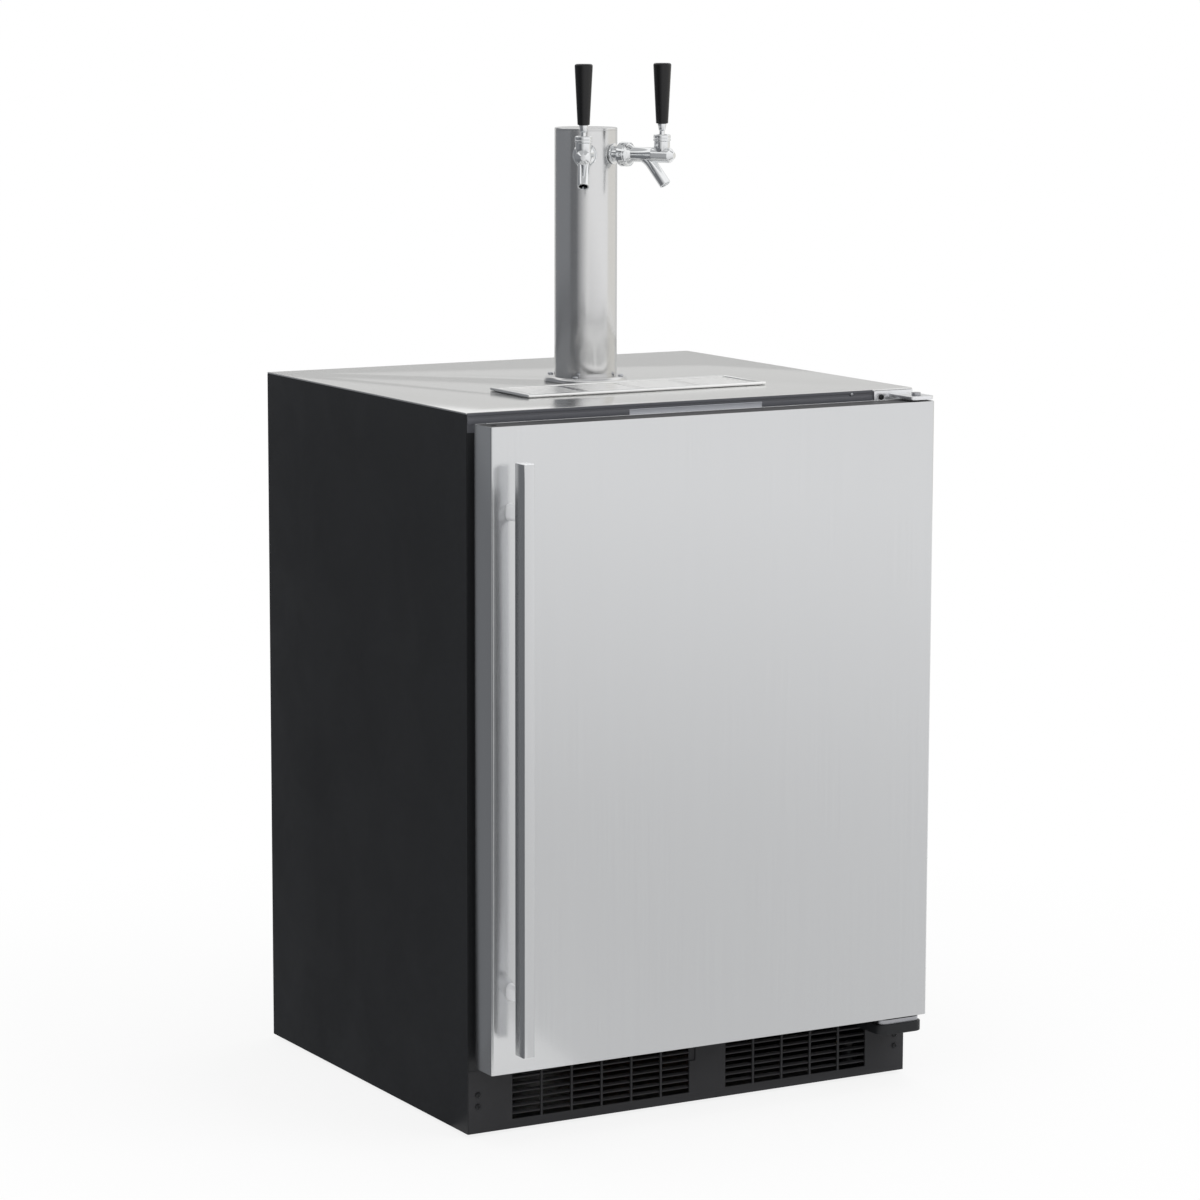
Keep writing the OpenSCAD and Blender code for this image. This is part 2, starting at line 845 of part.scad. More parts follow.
module compressor() {
    dome = 45;
    shell = 3;
    rim = 8;
    belt = 4;
    belt_h = 5;
    belt_z = 68;
    foot = 9;
    foot_dx = comp_r - 14;
    foot_dy = comp_r - 22;
    plate = 3;
    body_z = base_z + comp_foot_h;
    color(BLACK) {
        difference() {
            translate([comp_x, comp_y, body_z]) rotate_extrude() polygon(concat(
                [[0, 0], [comp_r - rim, 0], [comp_r, rim], [comp_r, comp_h - dome]],
                [for (a = [15:15:90]) [comp_r * cos(a), comp_h - dome + dome * sin(a)]]
            ));
            translate([comp_x, comp_y, body_z + shell])
                cylinder(r = comp_r - shell - rim, h = comp_h - dome - shell);
        }
        translate([comp_x, comp_y, body_z + belt_z]) tube(comp_r + belt, comp_r - 1, belt_h);
        box(comp_x - foot_dx - foot, comp_x + foot_dx + foot, comp_y - foot_dy - foot, comp_y + foot_dy + foot,
            body_z - plate, body_z + 1);
        for (dx = [-1, 1])
            for (dy = [-1, 1])
                translate([comp_x + dx * foot_dx, comp_y + dy * foot_dy, base_z])
                    cylinder(r = foot, h = comp_foot_h - 1);
    }
}

// a finned coil between two end plates: fins across X, tubes along X
module finned_coil(x, w, y, d, z, h, pitch) {
    fin_t = 1;
    tubes = 4;
    tube_r = 4;
    for (i = [0:floor((w - fin_t) / pitch)])
        box(x + i * pitch, x + i * pitch + fin_t, y, y + d, z, z + h);
    for (i = [0:tubes - 1]) rod_x(x - 6, x + w, y + d / 2, z + (i + 0.5) * h / tubes, tube_r);
}

module condenser() {
    color(COPPER) finned_coil(cond_x, cond_w, cond_y, cond_t, base_z, cond_h, 14);
}

module fan_shroud() {
    face = 4;
    arm = 10;
    color(BLACK) difference() {
        union() {
            box(cond_x, cond_x + cond_w, cond_back_y, cond_back_y + face, base_z, base_z + cond_h);
            rod_y(fan_x, cond_back_y, spider_y + spider_t, fan_z, duct_r + 2);
        }
        difference() {
            rod_y(fan_x, cond_back_y - 1, spider_y + spider_t + 1, fan_z, duct_r);
            for (turn = [0, 90])
                translate([fan_x, spider_y, fan_z]) rotate([0, turn, 0])
                    translate([-duct_r - 1, 0, -arm / 2]) cube([2 * duct_r + 2, spider_t, arm]);
            rod_y(fan_x, spider_y, spider_y + spider_t, fan_z, motor_r - 4);
        }
        rod_y(fan_x, spider_y - 1, spider_y + spider_t + 1, fan_z, shaft_r + 1);
    }
}

module fan_motors() {
    motor_y = spider_y + spider_t;
    cool_y = cavity_back_y - cool_motor_l;
    color(BLACK) {
        rod_y(fan_x, motor_y, motor_y + motor_l, fan_z, motor_r);
        rod_y(fan_x, fan_y - 2, motor_y + 1, fan_z, shaft_r);
        rod_y(cool_fan_x, cool_y, cavity_back_y, cool_fan_z, motor_r);
        rod_y(cool_fan_x, cool_hub_y - 2, cool_y + 1, cool_fan_z, shaft_r);
    }
}

// a fan about +Y, from y to y + hub_h
module fan(x, y, z, r, blades) {
    blade_t = 1.6;
    tilt = 32;
    translate([x, y + hub_h, z]) rotate([90, 0, 0]) difference() {
        union() {
            cylinder(r = hub_r, h = hub_h);
            intersection() {
                cylinder(r = r, h = hub_h);
                for (i = [0:blades - 1])
                    rotate([0, 0, i * 360 / blades]) translate([hub_r - 2, 0, hub_h / 2])
                        rotate([tilt, 0, 0]) translate([0, -hub_r, -blade_t / 2])
                            cube([r, 2 * hub_r, blade_t]);
            }
        }
        translate([0, 0, -1]) cylinder(r = shaft_r + run_c, h = hub_h + 2);
    }
}

module condenser_fan() {
    color(GREY) fan(fan_x, fan_y, fan_z, fan_r, 5);
}

module cooling_fan() {
    color(GREY) fan(cool_fan_x, cool_hub_y, cool_fan_z, cool_fan_r, 5);
}

module evaporator() {
    side = 18;
    gap = 8;
    color(ZINC) {
        finned_coil(cover_x + side, cover_w - 2 * side, cavity_back_y - cover_d + gap, cover_d - 2 * gap,
            coil_z, coil_h, 16);
        for (x = [cover_x + side - 2, cover_x + cover_w - side])
            box(x, x + 2, cavity_back_y - cover_d + gap, cavity_back_y, coil_z, coil_z + coil_h);
    }
}

module evaporator_cover() {
    front = cavity_back_y - cover_d;
    mouth_r = cool_fan_r + 4;
    bar = 3;
    bar_in = 0.4;
    edge = 20;
    slots = 14;
    slot_w = 8;
    slot_l = 60;
    step = (cover_w - 2 * edge) / slots;
    color(WHITE) {
        difference() {
            box(cover_x, cover_x + cover_w, front, cavity_back_y, cover_z, cover_top_z);
            box(cover_x + cover_t, cover_x + cover_w - cover_t, front + cover_t, cavity_back_y + 1,
                cover_z + cover_t, cover_top_z - cover_t);
            rod_y(cool_fan_x, front - 1, front + cover_t + 1, cool_fan_z, mouth_r);
            for (i = [0:slots - 1])
                translate([cover_x + edge + i * step, front - 1, cover_z + edge])
                    cube([slot_w, cover_t + 2, slot_l]);
        }
        for (turn = [0:45:135])
            translate([cool_fan_x, front + bar_in, cool_fan_z]) rotate([0, turn, 0])
                translate([-mouth_r - 1, 0, -bar / 2]) cube([2 * mouth_r + 2, cover_t - 2 * bar_in, bar]);
        rod_y(cool_fan_x, front + bar_in / 2, front + cover_t - bar_in / 2, cool_fan_z, hub_r);
    }
}

module interior_lamp() {
    lamp_w = 220;
    lamp_d = 22;
    lamp_h = 9;
    lamp_in = 24;
    lamp_corner = 6;
    lamp_y = frame_back_y + lamp_in;
    color(WHITE) translate([0, lamp_y, ceiling_z - lamp_h]) linear_extrude(lamp_h)
        round_rect(lamp_w, lamp_d, lamp_corner);
}

// a flanged bush in the rear panel, bored for the mains cord
module power_gland() {
    flange_rim = 4;
    flange_in = 3;
    color(RUBBER) difference() {
        union() {
            rod_y(gland_x, back_y - gland_l, back_y, gland_z, gland_r);
            rod_y(gland_x, inside_back_y - flange_in, inside_back_y, gland_z, gland_r + flange_rim);
        }
        rod_y(gland_x, back_y - gland_l - 1, back_y + 1, gland_z, gland_bore_r);
    }
}

module tower_flange() {
    spigot_h = 12;
    spigot_t = 3;
    edge = 1.5;
    color(STEEL) difference() {
        translate([0, tower_y, top_z]) rotate_extrude() polygon([
            [passage_r, 0], [flange_r, 0], [flange_r, flange_t - edge], [flange_r - edge, flange_t],
            [spigot_r, flange_t], [spigot_r, flange_t + spigot_h], [spigot_r - spigot_t, flange_t + spigot_h],
            [spigot_r - spigot_t, flange_t], [passage_r, flange_t]
        ]);
        at_flange_screws() translate([0, 0, top_z - 1]) cylinder(r = screw_r, h = flange_t + 2);
    }
}

module tower_column() {
    bottom = top_z + flange_t;
    color(STEEL) difference() {
        translate([0, tower_y, bottom])
            tube(tower_r, tower_r - tower_wall, tower_h - flange_t - tower_cap_t);
        at_both_faucets() along(locknut_l, tower_r + collar_t, shank_r + shank_play);
    }
}

module tower_cap() {
    spigot_h = 6;
    edge = 1;
    color(STEEL) translate([0, tower_y, top_z + tower_h - tower_cap_t]) rotate_extrude() polygon([
        [0, -spigot_h], [spigot_r, -spigot_h], [spigot_r, 0], [tower_r, 0], [tower_r, tower_cap_t - edge],
        [tower_r - edge, tower_cap_t], [0, tower_cap_t]
    ]);
}

module beer_lines() {
    low = ceiling_z - line_in;
    color(GREY) at_lines() translate([0, 0, low])
        tube(line_r, line_bore_r, faucet_z - elbow_r - low);
}

module line_unions() {
    hex_r = 8.6;
    hex_h = 16;
    tail_r = 4;
    tail_l = 16;
    color(CHROME) at_lines() difference() {
        union() {
            translate([0, 0, ceiling_z - hex_h]) cylinder(r = hex_r, h = hex_h, $fn = 6);
            translate([0, 0, ceiling_z - hex_h - tail_l]) cylinder(r = tail_r, h = tail_l + 1);
        }
        translate([0, 0, ceiling_z - line_in]) cylinder(r = line_r, h = line_in + 1);
        translate([0, 0, ceiling_z - hex_h - tail_l - 1])
            cylinder(r = line_bore_r, h = hex_h + tail_l);
    }
}

module faucet_shanks() {
    color(CHROME) at_both_faucets() difference() {
        union() {
            along(shank_in, shank_lip_l + 1, shank_r);
            along(tower_r + seat_c, tower_r + seat_c + collar_t, collar_r);
            along(shank_lip_l, shank_lip_l + shank_lip_t, shank_lip_r);
            translate([0, -elbow_r, shank_in]) rotate([0, 90, 0]) rotate_extrude(angle = 90)
                translate([elbow_r, 0]) circle(elbow_tube_r);
        }
        along(shank_in, shank_lip_l + shank_lip_t + 1, shank_bore_r);
    }
}

// a hex locknut inside the column and a round coupling nut outside, on each shank
module shank_nuts() {
    spanner_holes = 6;
    spanner_r = 2;
    color(CHROME) at_both_faucets() {
        difference() {
            translate([0, 0, locknut_l]) cylinder(r = locknut_r, h = locknut_t, $fn = 6);
            along(locknut_l - 1, locknut_l + locknut_t + 1, shank_r);
        }
        difference() {
            along(nut_start, nut_end, nut_r);
            along(nut_start - 1, nut_end + 1, shank_r + shank_play);
            along(nut_start + nut_lip, nut_end + 1, nut_bore_r);
            for (i = [0:spanner_holes - 1])
                translate([0, 0, nut_start + nut_l / 2]) rotate([0, 0, i * 360 / spanner_holes])
                    rotate([0, 90, 0]) cylinder(r = spanner_r, h = nut_r + 2);
        }
    }
}

// a run down the slope from the faucet's axis, longer by over at the tip
module down_spout(r, over = 0) {
    translate([0, 0, spout_l]) rotate([spout_a, 0, 0]) cylinder(r = r, h = spout_run + over);
}

module faucet_body(side) {
    slot = arm_r + tip_play;
    color(CHROME) at_faucet(side) difference() {
        union() {
            along(stub_l, nut_end - 0.5, stub_r);
            translate([0, 0, nut_end - 1]) cylinder(r1 = stub_r - 1, r2 = barrel_r, h = 6);
            along(nut_end - 1, barrel_l, barrel_r);
            translate([0, 0, barrel_l]) cylinder(r1 = nose_r, r2 = nose_tip_r, h = nose_l - barrel_l);
            upright(0, boss_top, boss_r, boss_r);
            down_spout(spout_r);
        }
        along(stub_l - 1, seat_l, rear_bore_r);
        along(stub_l - 1, chamber_l, chamber_r);
        upright(0, boss_top + 1, boss_bore_r, boss_bore_r);
        translate([-slot, 0, lever_l - boss_r - 1]) cube([2 * slot, barrel_r - 0.8, boss_r]);
        translate([-slot, 0, lever_l - boss_r + 0.8]) cube([2 * slot, barrel_r + 2.4, boss_r]);
        down_spout(spout_bore_r, 1);
    }
}

module left_faucet_body() {
    faucet_body(-1);
}

module right_faucet_body() {
    faucet_body(1);
}

module lever_bonnets() {
    socket_r = ball_r + seat_c;
    mouth_r = bonnet_r - 2.2;
    groove = trunnion_r + run_c;
    top = boss_top + bonnet_h;
    color(CHROME) at_both_faucets() difference() {
        upright(boss_top, top, bonnet_r, bonnet_r - 0.8);
        upright(boss_top - 1, pivot_rise + 1, socket_r, socket_r);
        upright(pivot_rise + 0.9, top + 0.01, socket_r, mouth_r);
        translate([-trunnion_l - seat_c, pivot_rise, lever_l]) rotate([0, 90, 0])
            cylinder(r = groove, h = 2 * (trunnion_l + seat_c));
        translate([-trunnion_l - seat_c, boss_top - 1, lever_l - groove])
            cube([2 * (trunnion_l + seat_c), pivot_rise - boss_top + 1, 2 * groove]);
    }
}

module lever(side) {
    stem_top = pivot_rise + handle_rise;
    tip = pivot_rise - lever_arm;
    color(CHROME) at_faucet(side) {
        translate([0, pivot_rise, lever_l]) sphere(r = ball_r);
        translate([-trunnion_l, pivot_rise, lever_l]) rotate([0, 90, 0])
            cylinder(r = trunnion_r, h = 2 * trunnion_l);
        upright(tip, pivot_rise, arm_r, arm_r);
        translate([0, tip, lever_l]) sphere(r = tip_r);
        upright(pivot_rise, stem_top - ferrule_l + 1, stem_r, stem_r);
        upright(stem_top - ferrule_l, stem_top, stem_r + 0.8, ferrule_r);
        upright(stem_top - 1, stem_top + stud_thread_l, stud_thread_r, stud_thread_r);
    }
}

module left_lever() {
    lever(-1);
}

module right_lever() {
    lever(1);
}

module tap_handle(side) {
    crown = 2.5;
    color(RUBBER) at_faucet(side) translate([0, pivot_rise + handle_rise, lever_l]) rotate([-90, 0, 0])
        rotate_extrude() polygon(concat(
            [[0, stud_thread_l], [stud_thread_r, stud_thread_l], [stud_thread_r, 0], [handle_foot_r - 0.8, 0],
            [handle_foot_r, 0.8]],
            arc(handle_top_r - crown, handle_l - crown, crown, 0, 90),
            [[0, handle_l]]
        ));
}

module left_tap_handle() {
    tap_handle(-1);
}

module right_tap_handle() {
    tap_handle(1);
}

module valve_shaft(side) {
    pocket = tip_r + tip_play;
    seal_end = seat_l - seat_c;
    color(CHROME) at_faucet(side) {
        difference() {
            along(seal_end - seal_t - 2, rod_end, rod_r);
            translate([-pocket, pivot_rise - lever_arm - pocket, lever_l - pocket])
                cube([2 * pocket, rod_r + pocket, 2 * pocket]);
        }
        along(seal_end - seal_t, seal_end, seal_r);
    }
}

module left_valve_shaft() {
    valve_shaft(-1);
}

module right_valve_shaft() {
    valve_shaft(1);
}

// four bars of width w that frame a rectangle, with a hair seam at each joint
module four_bars(x, front, back, low, high, w) {
    box(-x, x, front, front + w, low, high);
    box(-x, x, back - w, back, low, high);
    for (end = [-x, x - w])
        box(end, end + w, front + w + seam_c, back - w - seam_c, low, high);
}

// a floor, four walls and four strips of rim
module drip_tray() {
    rim_z = top_z + seat_c;
    color(STEEL) {
        box(-pan_x, pan_x, pan_front_y, pan_back_y, pan_z, pan_z + tray_t);
        four_bars(pan_x, pan_front_y, pan_back_y, pan_z + tray_t + seam_c, rim_z - seam_c, tray_t);
        four_bars(tray_w / 2, tray_front_y, tray_back_y, rim_z, top_z + rim_h, rim_w + tray_t);
    }
}

// a slotted plate on a foot at each end
module drip_grate() {
    plate_z = grate_top_z - tray_t;
    slots_d = grate_back_y - grate_front_y - 2 * grate_edge;
    rows = floor((slots_d + grate_pitch - grate_slot) / grate_pitch);
    first_y = (grate_front_y + grate_back_y - (rows - 1) * grate_pitch - grate_slot) / 2;
    slot_l = (2 * (grate_x - grate_edge) - (grate_columns - 1) * grate_web) / grate_columns;
    color(STEEL) {
        difference() {
            box(-grate_x, grate_x, grate_front_y, grate_back_y, plate_z, grate_top_z);
            for (row = [0:rows - 1])
                for (i = [0:grate_columns - 1])
                    translate([grate_edge - grate_x + i * (slot_l + grate_web), first_y + row * grate_pitch,
                        plate_z - 1])
                        cube([slot_l, grate_slot, tray_t + 2]);
        }
        for (side = [-1, 1])
            box(side > 0 ? grate_x - tray_t : -grate_x, side > 0 ? grate_x : tray_t - grate_x,
                grate_front_y, grate_back_y, pan_z + tray_t + seat_c, plate_z - seam_c);
    }
}

module gas_cylinder() {
    wall = 4;
    foot = 5;
    lip = 8;
    slope = bottle_r - neck_r;
    color(ZINC) difference() {
        translate([bottle_x, bottle_y, step_z]) rotate_extrude() polygon(concat(
            [[0, 0], [bottle_r - foot, 0], [bottle_r, foot]],
            [for (a = [0:15:90]) [neck_r + slope * cos(a), bottle_h + (shoulder_h - lip) * sin(a)]],
            [[neck_r, bottle_h + shoulder_h], [0, bottle_h + shoulder_h]]
        ));
        translate([bottle_x, bottle_y, step_z + wall]) cylinder(r = bottle_r - wall, h = bottle_h - wall);
    }
}

module cylinder_valve() {
    relief_l = 8;
    relief_r = 6;
    color(BRASS) {
        translate([bottle_x, bottle_y, neck_z]) cylinder(r = valve_r, h = valve_h);
        translate([bottle_x, bottle_y, neck_z + valve_h - 1])
            cylinder(r = spindle_r, h = wheel_h + fan_gap + 1);
        rod_x(outlet_end_x, bottle_x, bottle_y, outlet_z, outlet_r);
        rod_x(bottle_x, bottle_x + valve_r + relief_l, bottle_y, outlet_z, relief_r);
    }
}

module valve_handwheel() {
    lobes = 6;
    lobe_out = 3;
    lobe_r = 7;
    color(RUBBER) translate([bottle_x, bottle_y, wheel_z]) difference() {
        cylinder(r = wheel_r, h = wheel_h);
        for (i = [0:lobes - 1])
            rotate([0, 0, i * 360 / lobes]) translate([wheel_r + lobe_out, 0, -1])
                cylinder(r = lobe_r, h = wheel_h + 2);
        translate([0, 0, -1]) cylinder(r = spindle_r + run_c, h = wheel_h + 2);
    }
}

module gas_regulator() {
    hex_r = 15;
    hex_l = 22;
    hex_back = 14;
    tail_r = 8;
    barb_r = 4;
    barb_l = 22;
    collar_h = 4;
    root_r = 6.5;
    color(BRASS) {
        difference() {
            translate([outlet_end_x - hex_back, bottle_y, outlet_z]) rotate([0, 90, 0])
                cylinder(r = hex_r, h = hex_l, $fn = 6);
            rod_x(outlet_end_x, outlet_end_x + hex_l, bottle_y, outlet_z, outlet_r);
        }
        rod_x(reg_x, outlet_end_x - hex_back + 1, bottle_y, outlet_z, tail_r);
        rod_y(reg_x, reg_front_y, reg_front_y + reg_l, outlet_z, reg_r);
        rod_y(reg_x, reg_front_y - cone_l, reg_front_y + 1, outlet_z, knob_r - cone_in);
        rod_y(reg_x, reg_front_y - cone_l - knob_l - fan_gap, reg_front_y - cone_l + 1, outlet_z, spindle_r);
        translate([reg_x, bottle_y, outlet_z - reg_r - barb_l]) cylinder(r = barb_r, h = barb_l);
        translate([reg_x, bottle_y, outlet_z - reg_r - collar_h]) cylinder(r = root_r, h = collar_h + reg_r);
        translate([reg_x, bottle_y, outlet_z]) cylinder(r = gauge_stem_r, h = gauge_off - gauge_r + gauge_in);
        rod_x(reg_x - gauge_off + gauge_r - gauge_in, reg_x, bottle_y, outlet_z, gauge_stem_r);
    }
}

module regulator_gauges() {
    color(ZINC) difference() {
        union() {
            rod_y(reg_x, bottle_y - gauge_t / 2, bottle_y + gauge_t / 2, outlet_z + gauge_off, gauge_r);
            rod_y(reg_x - gauge_off, bottle_y - gauge_t / 2, bottle_y + gauge_t / 2, outlet_z, gauge_r);
        }
        translate([reg_x, bottle_y, outlet_z]) cylinder(r = gauge_stem_r, h = gauge_off - gauge_r + gauge_in);
        rod_x(reg_x - gauge_off + gauge_r - gauge_in, reg_x, bottle_y, outlet_z, gauge_stem_r);
    }
}

module regulator_knob() {
    knob_y = reg_front_y - cone_l - fan_gap / 2 - knob_l;
    color(RUBBER) difference() {
        rod_y(reg_x, knob_y, knob_y + knob_l, outlet_z, knob_r);
        rod_y(reg_x, knob_y - 1, knob_y + knob_l + 1, outlet_z, spindle_r + run_c);
    }
}

// plan outline of the door, in from its outer faces
module door_outline(inset) {
    x = door_x - inset;
    y = door_front_y + inset;
    r = fold_r - inset;
    polygon(concat([[x, door_back_y - inset], [-x, door_back_y - inset]],
        arc(r - x, y + r, r, 180, 270), arc(x - r, y + r, r, 270, 360)));
}

module door_skin() {
    door_h = door_top_z - door_z;
    color(STEEL) difference() {
        translate([0, 0, door_z]) linear_extrude(door_h) door_outline(0);
        translate([0, 0, door_z - 1]) linear_extrude(door_h + 2) door_outline(skin_t);
        box(-return_x, return_x, door_back_y - skin_t - 1, door_back_y + 1, door_z - 1, door_top_z + 1);
    }
}

// the space inside the door skin, in front of the door liner
module door_filling(from, to) {
    intersection() {
        translate([0, 0, from]) linear_extrude(to - from) door_outline(skin_t);
        box(-door_x, door_x, door_front_y, door_back_y - liner_t, from, to);
    }
}

module door_end_caps() {
    color(BLACK) difference() {
        union() {
            door_filling(door_z, door_z + cap_h);
            door_filling(door_top_z - cap_h, door_top_z);
        }
        for (x = [-hinge_x, hinge_x])
            translate([x, hinge_y, door_z - 1]) cylinder(r = bush_r, h = door_top_z - door_z + 2);
    }
}

module door_insulation() {
    color(FOAM) door_filling(door_z + cap_h, door_top_z - cap_h);
}

module door_liner() {
    color(WHITE) {
        box(-return_x, return_x, door_back_y - liner_t, door_back_y, door_z, door_top_z);
        box(dike_in - cavity_x, cavity_x - dike_in, door_back_y - liner_t, door_back_y + dike_h,
            floor_z + dike_in, ceiling_z - dike_in);
    }
}

module door_gasket() {
    color(RUBBER) difference() {
        box(-gasket_x, gasket_x, door_back_y, front_y - seat_c, gasket_low_z, gasket_top_z);
        box(gasket_w - gasket_x, gasket_x - gasket_w, door_back_y - 1, front_y + 1,
            gasket_low_z + gasket_w, gasket_top_z - gasket_w);
    }
}

module door_handle() {
    bar_x = bar_in + bar_w / 2 - door_x;
    edge = 1.2;
    post_w = bar_w - 1;
    post_edge = post_w / 2 - 0.5;
    color(STEEL) {
        translate([bar_x, bar_back_y - bar_d / 2, door_mid_z - bar_drop - bar_l / 2]) linear_extrude(bar_l)
            round_rect(bar_w, bar_d, edge);
        for (end = [-1, 1])
            translate([bar_x, door_front_y, door_mid_z + end * post_span / 2]) rotate([90, 0, 0])
                linear_extrude(bar_gap + edge) round_rect(post_w, post_h, post_edge);
    }
}

module door_bushes() {
    foot = low_gap - seat_c;
    color(BLACK) for (x = [-hinge_x, hinge_x]) {
        translate([x, hinge_y, door_top_z - cap_h]) tube(bush_r, pin_r + run_c, cap_h);
        translate([x, hinge_y, x > 0 ? door_z - foot : door_z])
            tube(bush_r, pin_r + run_c, x > 0 ? cap_h + foot : cap_h);
    }
}

left_side_panel();
right_side_panel();
rear_panel();
base_pan();
top_panel();
front_frame();
front_header();
control_panel();
inner_liner();
cabinet_insulation();
toe_grille();
cabinet_screws();
foot_front_left();
foot_front_right();
foot_rear_left();
foot_rear_right();
top_hinge_bracket();
bottom_hinge_bracket();
hinge_pins();
compressor();
condenser();
fan_shroud();
fan_motors();
condenser_fan();
evaporator();
evaporator_cover();
cooling_fan();
interior_lamp();
power_gland();
tower_flange();
tower_column();
tower_cap();
beer_lines();
line_unions();
faucet_shanks();
shank_nuts();
left_faucet_body();
right_faucet_body();
lever_bonnets();
left_lever();
right_lever();
left_tap_handle();
right_tap_handle();
left_valve_shaft();
right_valve_shaft();
drip_tray();
drip_grate();
gas_cylinder();
cylinder_valve();
valve_handwheel();
gas_regulator();
regulator_gauges();
regulator_knob();
door_skin();
door_end_caps();
door_liner();
door_insulation();
door_gasket();
door_handle();
door_bushes();
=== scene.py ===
"""Looks of a draft beer dispenser: modelled pieces, procedural finishes, studio and camera."""
import json
import logging
import math
from contextlib import contextmanager
from dataclasses import dataclass
from enum import Enum
from typing import Callable, ClassVar, Iterator, Sequence

import bmesh
import bpy
from mathutils import Matrix, Vector

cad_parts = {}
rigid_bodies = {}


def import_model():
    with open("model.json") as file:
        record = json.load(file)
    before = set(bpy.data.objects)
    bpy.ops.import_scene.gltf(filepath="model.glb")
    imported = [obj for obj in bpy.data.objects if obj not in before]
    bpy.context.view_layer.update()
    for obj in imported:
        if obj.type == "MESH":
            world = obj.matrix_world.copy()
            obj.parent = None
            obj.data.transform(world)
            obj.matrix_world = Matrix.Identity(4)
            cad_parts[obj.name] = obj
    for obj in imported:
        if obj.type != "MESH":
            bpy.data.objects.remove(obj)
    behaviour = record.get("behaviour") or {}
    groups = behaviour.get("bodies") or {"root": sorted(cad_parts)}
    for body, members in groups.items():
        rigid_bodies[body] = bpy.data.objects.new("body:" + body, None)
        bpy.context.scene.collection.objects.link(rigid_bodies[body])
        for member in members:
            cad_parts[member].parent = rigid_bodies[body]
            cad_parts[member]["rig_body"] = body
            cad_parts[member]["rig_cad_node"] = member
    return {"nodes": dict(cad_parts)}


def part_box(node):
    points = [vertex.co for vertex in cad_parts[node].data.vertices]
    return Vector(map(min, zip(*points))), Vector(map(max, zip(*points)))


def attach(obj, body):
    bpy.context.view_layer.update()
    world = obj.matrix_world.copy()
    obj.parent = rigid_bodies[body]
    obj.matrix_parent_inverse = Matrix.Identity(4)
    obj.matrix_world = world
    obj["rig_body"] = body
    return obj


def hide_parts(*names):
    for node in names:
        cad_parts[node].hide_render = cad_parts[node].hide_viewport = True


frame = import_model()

LOG = logging.getLogger("dispenser")
Piece = bpy.types.Object
Node = bpy.types.Node
Tree = bpy.types.NodeTree
Place = Sequence[float]
Colour = tuple[float, float, float, float]
Profile = Sequence[tuple[float, float]]
Test = Callable[[Vector, Vector], bool]

# Cosine past which a face or an edge counts as facing along an axis.
FACING = 0.9
# Distance within which a point counts as lying in a plane.
NEAR = 0.001
# Distance by which a cutting tool passes the surface that it cuts.
PAST = 0.01
# Sockets of a Mix node that mixes colours.
MIX_LOW, MIX_HIGH, MIX_RESULT = 6, 7, 2


class Body(Enum):
    """Moving bodies of the dispenser."""

    CABINET = "cabinet"
    DOOR = "door"
    LEFT_TAP = "left_tap"
    RIGHT_TAP = "right_tap"
    TRAY = "tray"
    GRATE = "grate"
    HANDWHEEL = "handwheel"
    KNOB = "pressure_knob"
    FRONT_LEFT_FOOT = "front_left_foot"
    FRONT_RIGHT_FOOT = "front_right_foot"
    REAR_LEFT_FOOT = "rear_left_foot"
    REAR_RIGHT_FOOT = "rear_right_foot"


class Slot(Enum):
    """Material slots of the record."""

    PAINT = "black_paint"
    STEEL = "brushed_steel"
    ZINC = "zinc_steel"
    CHROME = "chrome"
    BLACK_PLASTIC = "black_plastic"
    TAP_BLACK = "tap_black"
    GREY_PANEL = "grey_panel"
    WHITE_PLASTIC = "white_plastic"
    LENS = "lamp_lens"
    FOAM = "foam"
    RUBBER = "rubber"
    ALUMINIUM = "aluminium"
    COPPER = "copper"
    BRASS = "brass"
    VINYL = "vinyl"


class Grain(Enum):
    """Noise stretch, per metre, of a brushed grain along one axis or round a tube."""

    ALONG_X = (5.0, 420.0, 420.0)
    ALONG_Z = (420.0, 420.0, 5.0)
    ROUND = (60.0, 60.0, 700.0)


def shift(x: float, y: float, z: float) -> Matrix:
    """Give the matrix of a move."""
    return Matrix.Translation((x, y, z))


def turn(degrees: float, axis: str) -> Matrix:
    """Give the matrix of a turn about X, Y or Z."""
    return Matrix.Rotation(math.radians(degrees), 4, axis)


def middle_of(node: str) -> Vector:
    """Give the middle of a construction node's box."""
    low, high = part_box(node)
    return (low + high) / 2


def arc(radius: float, height: float, across: float, up: float, degrees: range) -> Profile:
    """Give the rings of a profile along an elliptic arc.

    Args:
        radius: Radius of the arc's middle.
        height: Height of the arc's middle.
        across: Half of the ellipse's width.
        up: Half of the ellipse's height.
        degrees: Angles of the rings.

    Returns:
        Radius and height of each ring.
    """
    angles = [math.radians(angle) for angle in degrees]
    return [(radius + across * math.cos(angle), height + up * math.sin(angle)) for angle in angles]


